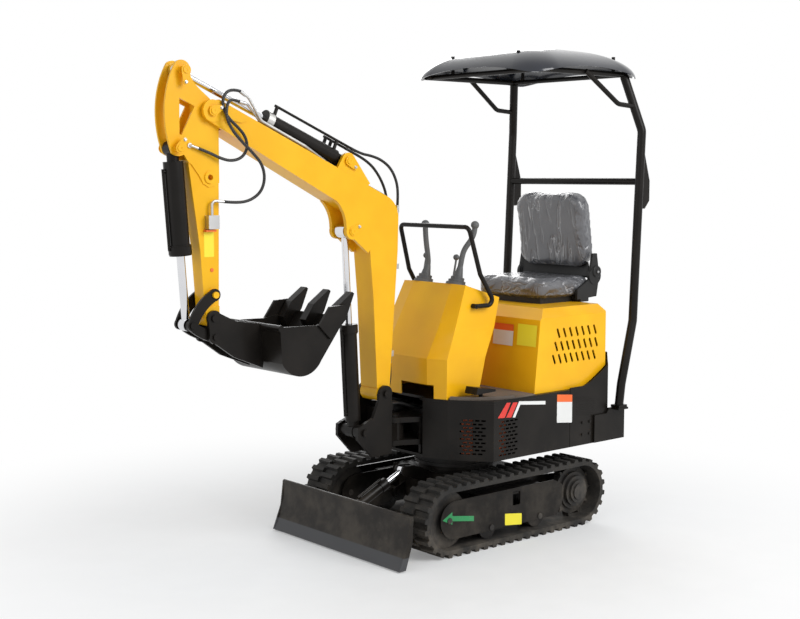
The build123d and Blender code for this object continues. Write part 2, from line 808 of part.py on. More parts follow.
def console_form(inset, low):
    """Form through five level sections, narrow at the top and leaning back."""
    sections = ((low, 250, -330, -292, -83), (705, 250, -330, -292, -83), (871, 250, -333, -290, -40),
                (1000, 244, -262, -238, 20), (1230, 218, -148, -138, 100))
    faces = []
    for height, half, front_mid, front_side, rear in sections:
        h = half - inset
        with BuildSketch(plan_plane(height)) as section:
            with BuildLine():
                Polyline((-h, rear - inset), (-h, front_side + inset), (-0.62 * h, front_mid + inset),
                         (0.62 * h, front_mid + inset), (h, front_side + inset), (h, rear - inset),
                         close=True)
            make_face()
        faces.append(section.sketch)
    with BuildPart() as form:
        loft(faces, ruled=True)
        top = Plane(origin=place(0, console_top_front[0], console_top_z(console_top_front[0], inset)),
                    x_dir=(1, 0, 0), z_dir=(0, math.sin(slope), math.cos(slope)))
        split(bisect_by=top, keep=Keep.BOTTOM)
    return form.part


console_outer = console_form(0, deck_high + seat_gap)
console_inner = console_form(hood_wall, deck_high - 1)
with BuildPart() as console:
    add(console_outer)
    add(console_inner, mode=Mode.SUBTRACT)
    with BuildSketch(plan_plane(deck_high)) as foot_notch:
        with Locations((foot_notch_x, -320)):
            Rectangle(foot_notch_width, 60)
    extrude(foot_notch.sketch, amount=foot_notch_height, mode=Mode.SUBTRACT)
save(console, "console")

with BuildPart() as grab_bar:
    add_tube([(-254, -112, 1112), (-262, 12, 1112), (-256, -86, 1262), (-246, -152, 1486), (246, -152, 1486),
              (256, -86, 1262), (262, 12, 1112), (254, -112, 1112)], 11, 28)
    for side in (-1, 1):
        add_bar((side * 233.4, -112, 1112), (side * 262, -112, 1112), 12)
save(grab_bar, "grab_bar")


def console_point(x, y, rise):
    """Point above the sloping console top, measured square to it."""
    return (x, y + rise * math.sin(slope), console_top_z(y) + rise * math.cos(slope))


def add_joystick(x, top_x, top_y, top_z):
    """Rubber boot in steps with a curved handle."""
    foot = console_point(x, -112, 0.0)
    square = (0, math.sin(slope), math.cos(slope))
    boot_up = (0, -math.cos(slope), math.sin(slope))
    with BuildSketch(Plane(origin=place(*foot), x_dir=(1, 0, 0), z_dir=boot_up)) as boot:
        with BuildLine():
            Polyline((0, 0), (52, 0), (50, 12), (42, 14), (42, 26), (33, 28), (33, 42), (24, 44), (14, 92),
                     (0, 92), close=True)
        make_face()
    revolve(boot.sketch, axis=Axis(place(*foot), square))
    neck = console_point(x, -112, 86)
    lean = Vector(*place(top_x, top_y, top_z)) - Vector(*place(*neck))
    with BuildLine() as spine:
        Spline(place(*neck), place(neck[0] + 0.25 * lean.X, neck[1] + 0.3 * lean.Y, neck[2] + 0.42 * lean.Z),
               place(top_x, top_y, top_z), tangents=(square, (0.1 * lean.X, 0, lean.Z)))
    with BuildSketch(Plane(origin=spine.line @ 0, z_dir=spine.line % 0)) as grip:
        Circle(13)
    sweep(grip.sketch, path=spine.line)
    with Locations(Location(tuple(spine.line @ 1))):
        Sphere(20)


with BuildPart() as levers:
    add_joystick(-116, -118, -100, 1490)
    add_joystick(116, 150, -20, 1490)
    for x in (-190, 30):
        add_bar(console_point(x, -60, 0.8), (x, -30, 1320), 5)
        with Locations(Location(place(x, -30, 1330))):
            Sphere(15)
save(levers, "control_levers")

with BuildPart() as pedal:
    add_bar((*pedal_foot, deck_high + seat_gap), (*pedal_foot, deck_high + 40), 10)
    tread = ((-215, deck_high + 30), (-205, deck_high + 62), (-90, deck_high + 44), (-90, deck_high + 34))
    add_plate(tread, pedal_foot[0] - 40, pedal_foot[0] + 40)
save(pedal, "pedal")

with BuildPart() as floor_mat:
    with BuildSketch(plan_plane(deck_high + seat_gap)) as mat:
        with BuildLine():
            edge = first = Polyline((255, -78), (255, -283), (262, -283))
            edge = ThreePointArc(edge @ 1, (382, -160), (425, -20))
            edge = Polyline(edge @ 1, (425, 118), (-425, 118), (-425, -20))
            edge = ThreePointArc(edge @ 1, (-382, -160), (-262, -283))
            Polyline(edge @ 1, (-255, -283), (-255, -78), first @ 0)
        make_face()
        with Locations(pedal_foot):
            Circle(12, mode=Mode.SUBTRACT)
    extrude(mat.sketch, amount=mat_thickness)
    for side in (-1, 1):
        with BuildSketch(plan_plane(deck_high + seat_gap)) as rim:
            with BuildLine():
                outer = ThreePointArc((side * 262, -283), (side * 382, -160), (side * 425, -20))
                inner = ThreePointArc((side * 416, -20), (side * 374, -156), (side * 258, -274))
                Line(outer @ 1, inner @ 0)
                Line(inner @ 1, outer @ 0)
            make_face()
        extrude(rim.sketch, amount=mat_rim)
save(floor_mat, "floor_mat")


# Seat
with BuildPart() as cushion:
    middle_y = cushion_front + cushion_depth / 2
    with BuildSketch(plan_plane(cushion_low)) as plan:
        with Locations((0, middle_y)):
            RectangleRounded(2 * cushion_half_width, cushion_depth, 60)
    extrude(plan.sketch, amount=cushion_thickness)
    fillet(cushion.faces().sort_by(Axis.Z)[-1].edges(), 28)
save(cushion, "seat_cushion")

lean = math.radians(back_lean)
back_plane = Plane(origin=place(0, back_foot[0], back_foot[1]), x_dir=(1, 0, 0),
                   z_dir=(0, -math.cos(lean), -math.sin(lean)))
with BuildPart() as seat_back:
    with BuildSketch(back_plane) as face:
        with Locations((0, back_length / 2)):
            RectangleRounded(2 * cushion_half_width, back_length, 90)
    extrude(face.sketch, amount=back_thickness / 2, both=True)
    fillet(seat_back.faces().sort_by(Axis.Y)[0].edges(), 24)
save(seat_back, "seat_back")

hinge_x = cushion_half_width + seat_gap
with BuildPart() as seat_frame:
    with BuildSketch(plan_plane(hood_top + seat_gap)) as base:
        with Locations((0, cushion_front + 210)):
            Rectangle(400, 340)
        with Locations((0, 655)):
            Rectangle(2 * hinge_x + 28, 60)
    extrude(base.sketch, amount=cushion_low - hood_top - 2 * seat_gap)
    for side in (-1, 1):
        x = hinge_x if side > 0 else -hinge_x - 14
        add_disc((730, 1215), 44, x - 3 if side < 0 else x, x + 14 if side < 0 else x + 17)
        add_plate(((600, 1100), (745, 1110), (765, 1215), (745, 1330), (715, 1330), (690, 1200), (600, 1150)),
                  x, x + 14)
save(seat_frame, "seat_frame")


# Canopy: posts, cross bar, roof rails and a domed roof
mount_plate_x = house_half_width + seat_gap
with BuildPart() as canopy_mounts:
    for side in (-1, 1):
        x = mount_plate_x if side > 0 else -mount_plate_x - 12
        add_plate(((530, 402), (756, 402), (756, shelf_top), (640, shelf_top), (620, 540), (530, 540)),
                  x, x + 12)
        x = mount_plate_x if side > 0 else -post_x - 30
        add_plate(((664, shelf_top - 10), (738, shelf_top - 10), (738, shelf_top), (664, shelf_top)),
                  x, x + post_x + 30 - mount_plate_x)
save(canopy_mounts, "canopy_mounts")

def roof_form(shrink):
    """Dome through level rounded rectangles."""
    middle_y = (roof_front + roof_rear) / 2
    half_length = (roof_rear - roof_front) / 2 - shrink
    half_width = roof_half_width - shrink
    levels = []
    for share in (0.0, 0.2, 0.42, 0.64, 0.82, 0.95):
        spread = (1 - share ** 1.8) ** 0.39
        with BuildSketch(plan_plane(roof_rim_z + (roof_rise - shrink) * share)) as level:
            with Locations((0, middle_y)):
                RectangleRounded(2 * half_width * spread, 2 * half_length * spread, roof_corner * spread)
        levels.append(level.sketch)
    with BuildPart() as dome:
        loft(levels)
    return dome.part


roof_outer = roof_form(0)
roof_inner = roof_form(roof_wall)
with BuildPart() as canopy_roof:
    add(roof_outer)
    add(roof_inner, mode=Mode.SUBTRACT)
    with BuildSketch(side_plane(-500)) as side_arches:
        with BuildLine():
            arch = ThreePointArc((roof_front + 60, roof_rim_z - 1),
                                 ((roof_front + roof_rear) / 2, roof_rim_z + roof_arch),
                                 (roof_rear - 60, roof_rim_z - 1))
            Line(arch @ 1, arch @ 0)
        make_face()
    extrude(side_arches.sketch, amount=1000, mode=Mode.SUBTRACT)
    end_arches_plane = Plane(origin=(0, slew_y - 100, 0), x_dir=(-1, 0, 0), z_dir=(0, 1, 0))
    with BuildSketch(end_arches_plane) as end_arches:
        with BuildLine():
            arch = ThreePointArc((-roof_half_width + 60, roof_rim_z - 1), (0, roof_rim_z + roof_arch),
                                 (roof_half_width - 60, roof_rim_z - 1))
            Line(arch @ 1, arch @ 0)
        make_face()
    extrude(end_arches.sketch, amount=1200, mode=Mode.SUBTRACT)
    for x, y, top in roof_studs:
        with BuildSketch(plan_plane(roof_rim_z)) as stud_holes:
            with Locations((-x, y), (x, y)):
                Circle(roof_stud_radius + pin_play)
        extrude(stud_holes.sketch, amount=roof_rise, mode=Mode.SUBTRACT)
save(canopy_roof, "canopy_roof")

with BuildPart() as canopy_frame:
    with BuildSketch(plan_plane(shelf_top + seat_gap)) as base_plates:
        with Locations((-post_x, post_foot_y), (post_x, post_foot_y)):
            Rectangle(54, 62)
    extrude(base_plates.sketch, amount=post_plate)
    post_points = [(post_x, post_foot_y, shelf_top + post_plate / 2), (post_x, 716, 680), (post_x, 797, 996),
                   (post_x, 830, 1690), (post_x, 842, 1951), (rail_x, 780, rail_z - 8)]
    strut_points = [(425, 805, 2070), (425, 690, 2078), (405, 470, 2230)]
    for side in (-1, 1):
        add_tube([(side * x, y, z) for x, y, z in post_points], post_radius, 70)
        add_tube([(side * x, y, z) for x, y, z in strut_points], 12, 60)
        x_from = side * post_x - 5
        add_plate(((850, 1880), (905, 1700), (905, 1600), (870, 1560), (840, 1560), (840, 1880)),
                  x_from, x_from + 10)
    add_bar((-post_x, 830, crossbar_z), (post_x, 830, crossbar_z), crossbar_radius)
    for side in (-1, 1):
        add_bar((side * rail_x, rail_start, rail_z), (side * rail_x, rail_end, rail_z), rail_radius)
    for x, y, top in roof_studs:
        add_bar((-rail_x, y, rail_z), (rail_x, y, rail_z), cross_rail_radius)
        for side in (-1, 1):
            add_bar((side * x, y, rail_z), (side * x, y, top), roof_stud_radius)
save(canopy_frame, "canopy_frame")

# Swing bracket between the nose and the boom
bracket_inner = 66.0
bracket_plate = 18.0
with BuildPart() as bracket:
    hub_low = nose_low[1] + 1
    hub_high = nose_top[0] - 1
    with BuildSketch(plan_plane(hub_low)) as hub:
        with Locations((0, swing_axis_y)):
            Circle(50)
        with BuildLine():
            Polyline((-45, swing_axis_y), (-bracket_inner, -500), (bracket_inner, -500), (45, swing_axis_y),
                     close=True)
        make_face()
        with Locations((0, swing_axis_y)):
            Circle(swing_pin_radius + pin_play, mode=Mode.SUBTRACT)
    extrude(hub.sketch, amount=hub_high - hub_low)
    with Locations(Location(place(0, -502, 535))):
        Box(2 * (bracket_inner + bracket_plate), 30, 210)
    for start_x in (-bracket_inner - bracket_plate, bracket_inner):
        with BuildSketch(side_plane(start_x)) as cheek:
            with BuildLine():
                Polyline((-490, 430), (-604, 428), (-690, 520), (-688, 575), (-600, 610), (-562, 690),
                         (-562, 718), (-486, 718), (-486, 600), close=True)
            make_face()
            with Locations(boom_foot):
                Circle(37)
            with Locations(lift_low_pin):
                Circle(40)
        extrude(cheek.sketch, amount=bracket_plate)
    outer = bracket_inner + bracket_plate
    add_disc(boom_foot, 17, -outer - 12, outer + 12)
    add_disc(lift_low_pin, 17, -outer - 12, outer + 12)
    for start_x, end_x in ((-bracket_inner, -eye_half_width - 1), (eye_half_width + 1, bracket_inner)):
        add_disc(lift_low_pin, 30, start_x, end_x)
    with BuildSketch(plan_plane(guide_z[0])) as hose_guide:
        with Locations((0, guide_y - 14)):
            Rectangle(2 * bracket_inner, 28)
    extrude(hose_guide.sketch, amount=guide_z[1] - guide_z[0])
save(bracket, "swing_bracket")


# Boom
boom_back = ((-480, 744), (-430, 1383), (-424, 1600), (-700, 1725), (-1400, 2040))
boom_bend = 110.0
fork_inner = boom_half_width - fork_plate
with BuildPart() as boom:
    with BuildSketch(side_plane(-boom_half_width)) as beam:
        with BuildLine() as profile:
            edge = first = FilletPolyline(*boom_back, radius=boom_bend)
            edge = Line(edge @ 1, (-1435, 2034))
            edge = Line(edge @ 1, (-1452, 1952))
            edge = FilletPolyline(edge @ 1, (-1291, 1869), (-637, 1537), (-603, 1460), (-576, 1157),
                                  (-556, 744), radius=50)
            Line(edge @ 1, first @ 0)
        make_face()
        with Locations(boom_foot):
            Circle(40)
        with Locations(arm_pivot):
            Circle(43)
        with Locations(boom_foot):
            Circle(17 + pin_play, mode=Mode.SUBTRACT)
    extrude(beam.sketch, amount=2 * boom_half_width)
    with BuildSketch(side_plane(-fork_inner)) as fork_cut:
        with Locations(arm_pivot):
            Circle(96)
        with BuildLine():
            Polyline((-1435, 2095), (-1560, 2100), (-1560, 1850), (-1390, 1905), close=True)
        make_face()
    extrude(fork_cut.sketch, amount=2 * fork_inner, mode=Mode.SUBTRACT)
    for start_x in (-ear_inner - ear_plate, ear_inner):
        with BuildSketch(side_plane(start_x)) as ear:
            with BuildLine():
                edge = first = ThreePointArc((-790, 1613), (-750, 1560), (-735, 1490))
                edge = Line(edge @ 1, (-690, 1439))
                edge = Line(edge @ 1, (-610, 1374))
                edge = Line(edge @ 1, (-594, 1393))
                edge = FilletPolyline(edge @ 1, (-600, 1490), (-650, 1546), (-790, 1613), radius=34)
            make_face()
            with Locations(lift_rod_pin):
                Circle(38)
        extrude(ear.sketch, amount=ear_plate)
    for start_x in (-54, 38):
        with BuildSketch(side_plane(start_x)) as ear:
            with BuildLine():
                Polyline((-790, 1740), (-742, 1815), (-690, 1822), (-590, 1690), (-640, 1660), close=True)
            make_face()
            with Locations(crowd_low_pin):
                Circle(37)
        extrude(ear.sketch, amount=16)
    for start_x in (-boom_half_width - tip_plate, boom_half_width):
        with BuildSketch(side_plane(start_x)) as tip:
            with BuildLine():
                Polyline((-1435, 2034), (-1400, 2036), (-1256, 1971), (-1262, 1954), (-1297, 1946),
                         (-1370, 1962), (-1412, 1950), (-1435, 1948), close=True)
            make_face()
            with Locations(arm_pivot):
                Circle(46)
        extrude(tip.sketch, amount=tip_plate)
    add_disc(arm_pivot, 16, -boom_half_width - tip_plate - 6, boom_half_width + tip_plate + 6)
    add_disc(crowd_low_pin, 15, -62, 62)
    for start_x in (-ear_inner - ear_plate - 6, ear_inner + ear_plate):
        add_disc(lift_rod_pin, 18, start_x, start_x + 6)
save(boom, "boom")


# Arm with its two head plates
head_inner = arm_half_width - arm_plate
with BuildPart() as arm:
    with BuildSketch(side_plane(-arm_half_width)) as outline:
        with BuildLine() as profile:
            edge = first = Spline((-1593, 2184), (-1636, 2078), (-1647, 1960), (-1618, 1818))
            edge = ThreePointArc(edge @ 1, (-1590, 1806), (-1560, 1812))
            edge = Line(edge @ 1, (-1538, 1780))
            edge = Line(edge @ 1, (-1487, 1419))
            edge = Line(edge @ 1, (-1466, 1131))
            edge = Line(edge @ 1, (-1400, 1131))
            edge = Line(edge @ 1, (-1392, 1660))
            edge = Line(edge @ 1, (-1392, 1990))
            edge = Spline(edge @ 1, (-1430, 2040), (-1503, 2101), (-1526, 2140))
            edge = ThreePointArc(edge @ 1, (-1550, 2192), (-1593, 2184))
        make_face()
        with Locations(bucket_pin):
            Circle(36)
        with BuildLine():
            Polyline((-1578, 2041), (-1506, 2010), (-1568, 1893), (-1580, 1893), close=True)
        make_face(mode=Mode.SUBTRACT)
        with Locations(arm_pivot, bucket_pin):
            Circle(16 + pin_play, mode=Mode.SUBTRACT)
    extrude(outline.sketch, amount=2 * arm_half_width)
    with BuildSketch(side_plane(-head_inner)) as hollow:
        with BuildLine():
            Polyline((-1700, 2250), (-1700, 1700), (-1545, 1790), (-1490, 1880), (-1490, 2085), (-1460, 2120),
                     (-1460, 2250), close=True)
        make_face()
    extrude(hollow.sketch, amount=2 * head_inner, mode=Mode.SUBTRACT)
    add_disc(curl_low_pin, 15, -arm_half_width - 8, arm_half_width + 8)
    for start_x in (-arm_half_width - 8, arm_half_width):
        add_disc(crowd_rod_pin, 18, start_x, start_x + 8)
    add_disc(rocker_pin, 14, -66, 66)
    for x_from in (arm_half_width - arm_step, -arm_half_width):
        with BuildSketch(side_plane(x_from)) as side_step:
            with BuildLine():
                Polyline((-1560, 1779), (-1528, 1776), (-1489, 1726), (-1470, 1694), (-1443, 1678),
                         (-1412, 1684), (-1380, 1704), (-1380, arm_step_low), (-1520, arm_step_low),
                         close=True)
            make_face()
        extrude(side_step.sketch, amount=arm_step, mode=Mode.SUBTRACT)
    add_disc(rocker_pin, 25, -arm_half_width, arm_half_width)
    boss_x = arm_half_width + lock_boss_height
    add_disc(lock_bore, lock_boss_radius, -boss_x, boss_x)
    add_disc(lock_bore, lock_bore_radius, -boss_x, boss_x, mode=Mode.SUBTRACT)
save(arm, "arm")


# Rocker, link and bucket
def add_link(start, end, radius_start, radius_end, x_from, x_to, bow):
    """Curved flat link between two pin centres."""
    dy = end[0] - start[0]
    dz = end[1] - start[1]
    length = math.hypot(dy, dz)
    normal = (-dz / length, dy / length)
    middle = ((start[0] + end[0]) / 2 + normal[0] * bow, (start[1] + end[1]) / 2 + normal[1] * bow)

    def offset(point, distance):
        return (point[0] + normal[0] * distance, point[1] + normal[1] * distance)

    with BuildSketch(side_plane(x_from)) as shape:
        with BuildLine() as profile:
            edge = first = ThreePointArc(offset(start, radius_start), offset(middle, radius_end),
                                         offset(end, radius_end))
            edge = Line(edge @ 1, offset(end, -radius_end))
            edge = ThreePointArc(edge @ 1, offset(middle, -radius_end), offset(start, -radius_start))
            Line(edge @ 1, first @ 0)
        make_face()
        with Locations(start):
            Circle(radius_start)
        with Locations(end):
            Circle(radius_end)
    extrude(shape.sketch, amount=x_to - x_from)


rocker_inner = 44.0
rocker_plate = 12.0
with BuildPart() as rocker:
    for start_x in (-rocker_inner - rocker_plate, rocker_inner):
        add_link(rocker_pin, curl_rod_pin, 26, 24, start_x, start_x + rocker_plate, -16)
        add_disc(rocker_pin, 14 + pin_play, start_x - 1, start_x + rocker_plate + 1, mode=Mode.SUBTRACT)
    for start_x in (-rocker_inner - rocker_plate - 6, rocker_inner + rocker_plate):
        add_disc(curl_rod_pin, 15, start_x, start_x + 6)
save(rocker, "bucket_rocker")

link_inner = 27.0
link_plate = 13.0
with BuildPart() as link:
    for start_x in (-link_inner - link_plate, link_inner):
        add_link(curl_rod_pin, link_pin, 20, 22, start_x, start_x + link_plate, -6)
    add_disc(link_pin, 22, -link_inner, link_inner)
    link_reach = link_inner + link_plate + 1
    add_disc(link_pin, 14 + pin_play, -link_reach, link_reach, mode=Mode.SUBTRACT)
save(link, "bucket_link")

rim_back = (-1202.0, 1087.0)
back_low = (-1192.0, 930.0)
floor_start = (-985.0, 928.0)
lip_edge = (-851.0, 1105.0)
lip_angle = math.atan2(lip_edge[1] - floor_start[1], lip_edge[0] - floor_start[0])


def lip_point(ahead, inward):
    """Point given along the lip from its edge and inward from its outer face."""
    return (lip_edge[0] + ahead * math.cos(lip_angle) - inward * math.sin(lip_angle),
            lip_edge[1] + ahead * math.sin(lip_angle) + inward * math.cos(lip_angle))


with BuildPart() as bucket:
    with BuildSketch(side_plane(-bucket_half_width)) as shell:
        with BuildLine() as profile:
            edge = first = Line(rim_back, back_low)
            edge = ThreePointArc(edge @ 1, (-1097, 868), floor_start)
            edge = Line(edge @ 1, lip_edge)
            edge = Line(edge @ 1, lip_point(0, bucket_sheet))
            edge = Line(edge @ 1, (floor_start[0] - bucket_sheet * math.sin(lip_angle),
                            floor_start[1] + bucket_sheet * math.cos(lip_angle)))
            edge = ThreePointArc(edge @ 1, (-1097, 868 + bucket_sheet),
                                 (back_low[0] + bucket_sheet, back_low[1]))
            edge = Line(edge @ 1, (rim_back[0] + bucket_sheet, rim_back[1]))
            Line(edge @ 1, first @ 0)
        make_face()
    extrude(shell.sketch, amount=2 * bucket_half_width)
    for start_x in (-bucket_half_width, bucket_half_width - bucket_side):
        with BuildSketch(side_plane(start_x)) as cheek:
            with BuildLine() as profile:
                edge = first = Line(rim_back, back_low)
                edge = ThreePointArc(edge @ 1, (-1097, 868), floor_start)
                edge = Line(edge @ 1, lip_edge)
                edge = Line(edge @ 1, (-1010, 1083))
                edge = Line(edge @ 1, rim_back)
            make_face()
        extrude(cheek.sketch, amount=bucket_side)
    with BuildSketch(side_plane(-bucket_half_width)) as top_bar:
        with Locations((rim_back[0] + 6, rim_back[1] - 6)):
            Circle(14)
    extrude(top_bar.sketch, amount=2 * bucket_half_width)
    for side in (-1, 1):
        start_x = bucket_ear_inner if side > 0 else -bucket_ear_inner - bucket_ear
        with BuildSketch(side_plane(start_x)) as ear:
            with BuildLine():
                Polyline((-1435, 1163), (-1330, 1112), (-1198, 1092), (-1190, 925), (-1195, 900),
                         (-1340, 958), (-1431, 1022), (-1458, 1051), (-1467, 1131), close=True)
            make_face()
            with Locations(bucket_pin):
                Circle(33)
            with Locations(link_pin):
                Circle(30)
        extrude(ear.sketch, amount=bucket_ear)
        cutter_x = bucket_half_width if side > 0 else -bucket_half_width - 12
        add_plate(((-1004, 1081), (-946, 1160), (-850, 1164), (-868, 1120), (-848, 1108), (-942, 1018)),
                  cutter_x, cutter_x + 12)
    add_disc(bucket_pin, 16, -bucket_ear_inner - bucket_ear - 8, bucket_ear_inner + bucket_ear + 8)
    add_disc(link_pin, 14, -bucket_ear_inner - bucket_ear - 8, bucket_ear_inner + bucket_ear + 8)
    tooth = (lip_point(-90, bucket_sheet), lip_point(-66, 58), lip_point(16, 62), lip_point(116, 30),
             lip_point(116, 18), lip_point(22, -6), lip_point(0, -6), lip_point(0, bucket_sheet))
    for x in (-tooth_spacing, 0, tooth_spacing):
        add_plate(tooth, x - tooth_width / 2, x + tooth_width / 2)
save(bucket, "bucket")


# Hard pipes behind and along the boom
def shifted(points, distance):
    """Open outline moved square to itself, with mitred corners."""
    moved = []
    for number, point in enumerate(points):
        before = points[max(number - 1, 0)]
        here = points[min(number, len(points) - 2)]
        after = points[min(number + 1, len(points) - 1)]
        if number == 0:
            before = point
        near = (before, here) if number else (here, after)
        a = Vector(near[1][0] - near[0][0], near[1][1] - near[0][1])
        b = Vector(after[0] - point[0], after[1] - point[1]) if number < len(points) - 1 else a
        if number == len(points) - 1:
            a = b = Vector(point[0] - points[-2][0], point[1] - points[-2][1])
        normal = (Vector(a.Y, -a.X).normalized() + Vector(b.Y, -b.X).normalized()).normalized()
        reach = distance / normal.dot(Vector(a.Y, -a.X).normalized())
        moved.append((point[0] + normal.X * reach, point[1] + normal.Y * reach))
    return moved


def add_pipe(points, radius, bends):
    """Pipe through points given from the slew axis."""
    with BuildLine() as route:
        FilletPolyline(*[place(*point) for point in points], radius=bends)
    with BuildSketch(Plane(origin=route.line @ 0, z_dir=route.line % 0)) as section:
        Circle(radius)
    sweep(section.sketch, path=route.line)


pipe_line = shifted(boom_back, pipe_stand)
pipe_foot = along(pipe_line[0], pipe_line[1], 108)
pipe_rest = along(pipe_line[1], pipe_line[2], 207)
boom_pipe_x = (-38.0, -13.0, 13.0, 38.0)


def top_point(y):
    """Point of the pipes' line on top of the boom at y."""
    start, end = pipe_line[3], pipe_line[4]
    return (y, start[1] + (end[1] - start[1]) * (y - start[0]) / (end[0] - start[0]))


with BuildPart() as boom_pipes:
    for x in (boom_pipe_x[0], boom_pipe_x[3]):
        add_pipe([(x, *pipe_foot), (x, *pipe_line[1]), (x, *pipe_rest)], pipe_radius, 60)
        add_bar((x, *along(pipe_rest, pipe_line[1], 34)), (x, *pipe_rest), fitting_radius)
    fronts = ((46.0, (-1250.0, 2026.0), (-1293.0, 2036.0)), (60.0, (-1254.0, 2052.0), (-1296.0, 2078.0)))
    for x, (front_x, knee, mouth) in zip(boom_pipe_x[1:3], fronts):
        add_pipe([(x, *pipe_foot), (x, *pipe_line[1]), (x, *pipe_line[2]), (x, *pipe_line[3]),
                  (x, *top_point(-800)), (front_x, *top_point(-960)), (front_x, *top_point(-1190)),
                  (front_x, *knee), (front_x, *mouth)],
                 pipe_radius, (60, boom_bend + pipe_stand, 60, 30, 30, 30, 20))
        add_bar((front_x, *along(mouth, knee, 30)), (front_x, *mouth), fitting_radius)
    for x in boom_pipe_x:
        add_bar((x, *pipe_foot), (x, *along(pipe_foot, pipe_line[1], 70)), fitting_radius)
    for station in (140.0, 550.0):
        low = along(boom_back[0], boom_back[1], station)
        high = along(boom_back[0], boom_back[1], station + 26)
        add_plate(((low[0] + seat_gap, low[1]), (low[0] + 22, low[1]), (high[0] + 22, high[1]),
                   (high[0] + seat_gap, high[1])), -50, 50)
save(boom_pipes, "boom_pipes")

# Free hoses: each route is in millimetres from the slew axis
guide_landing = guide_y - 8
curl_upper_route = [(52, -1500, 1838), (55, -1452, 1822), (60, -1404, 1800), (66, -1350, 1786), (72, -1298, 1800),
                    (78, -1272, 1844), (80, -1288, 1894), (80, -1326, 1930), (78, -1366, 1962), (76, -1394, 2006),
                    (72, -1388, 2056), (66, -1346, 2086), (60, -1296, 2078)]
curl_lower_route = [(46, -1293, 2036), (62, -1340, 2046), (88, -1380, 2022), (98, -1392, 1968), (98, -1362, 1912),
                    (98, -1314, 1866), (98, -1262, 1822), (96, -1214, 1776), (92, -1196, 1716), (86, -1212, 1658),
                    (78, -1262, 1622), (70, -1324, 1612), (62, -1384, 1618)]


def beyond(end, before, distance):
    """Point that carries the last run of a route on past its end."""
    run = Vector(*end) - Vector(*before)
    return tuple(Vector(*end) + run.normalized() * distance)


with BuildPart() as arm_fittings:
    face_x = arm_half_width - arm_step + seat_gap
    add_plate(((-1462, 1505), (-1410, 1505), (-1410, 1562), (-1462, 1562)), face_x, face_x + 31)
    face_x = arm_half_width + seat_gap
    knee = beyond(curl_lower_route[-1], curl_lower_route[-2], 56)
    add_pipe([(knee[0], knee[1], 1560), knee, curl_lower_route[-1]], pipe_radius, 18)
    knee = beyond(curl_upper_route[0], curl_upper_route[1], 36)
    add_pipe([(face_x, knee[1], knee[2]), knee, curl_upper_route[0]], pipe_radius, 8)
    add_bar((face_x, knee[1], knee[2]), (face_x + 5, knee[1], knee[2]), fitting_radius + 2)
save(arm_fittings, "arm_fittings")


def build_hose(label, points, start_gap=0.0, end_gap=0.0):
    """Plain tube along straight runs that are joined by arcs."""
    corners = [Vector(*place(*point)) for point in points]
    runs = [b - a for a, b in zip(corners, corners[1:])]
    corners[0] += runs[0].normalized() * start_gap
    corners[-1] -= runs[-1].normalized() * end_gap
    radii = []
    for a, b in zip(runs, runs[1:]):
        turn = math.radians(a.get_angle(b))
        radii.append(0.45 * min(a.length, b.length) / math.tan(turn / 2))
    with BuildPart() as hose:
        with BuildLine() as route:
            FilletPolyline(*corners, radius=radii)
        with BuildSketch(Plane(origin=route.line @ 0, z_dir=route.line % 0)) as section:
            Circle(hose_radius)
        sweep(section.sketch, path=route.line)
    length = sum(edge.length for edge in route.edges())
    expected = math.pi * hose_radius ** 2 * length
    print(label, "length", round(length), "smallest bend", round(min(radii)),
          "volume ratio", round(hose.part.volume / expected, 4))
    print("    corners", [tuple(round(value, 2) for value in corner) for corner in corners])
    save(hose, label)


build_hose("curl_hose_upper", curl_upper_route, start_gap=seat_gap)
build_hose("curl_hose_lower", curl_lower_route, end_gap=seat_gap)
port_y, port_z = crowd_port
build_hose("crowd_hose_outer", [(20, port_y, port_z), (20, *along(crowd_port, crowd_run, 62)), (20, -556, 1817),
                                (22, -496, 1798), (27, -446, 1762), (32, -416, 1708), (36, -407, 1648),
                                (boom_pipe_x[3], *pipe_rest)], start_gap=seat_gap)
build_hose("crowd_hose_inner", [(-20, port_y, port_z), (-20, *along(crowd_port, crowd_run, 62)), (-22, -562, 1800),
                                (-26, -510, 1768), (-31, -467, 1724), (-35, -436, 1678), (-37, -418, 1634),
                                (boom_pipe_x[0], *pipe_rest)], start_gap=seat_gap)
for number, x in enumerate(boom_pipe_x):
    near = 0.8 * x
    build_hose("foot_hose_" + str(number + 1), [(x, *pipe_foot), (x, -457, 802), (0.94 * x, -460, 757),
                                                (near, guide_landing, 714), (near, guide_landing, guide_z[1])],
               end_gap=seat_gap)
for number, x in enumerate((-22.0, 22.0)):
    build_hose("house_hose_" + str(number + 1), [(x, guide_y, 650), (x, -420, 655), (1.1 * x, -374, 649),
                                                 (1.2 * x, -328, 632), (1.3 * x, -280, 614), (1.3 * x, bulkhead_y, 614)],
               end_gap=seat_gap)
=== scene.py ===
# %% [markdown]
# # A small tracked excavator with an open canopy
# The machine's plates, pins and tubes come from the CAD model as fixed meshes.
# This notebook gives them paint, rubber and steel, and adds what a CAD model
# leaves out: hoses, seat covers, pierced panels, bolts and blank stickers.
# The frame is loaded first, because each later piece takes its place from it.

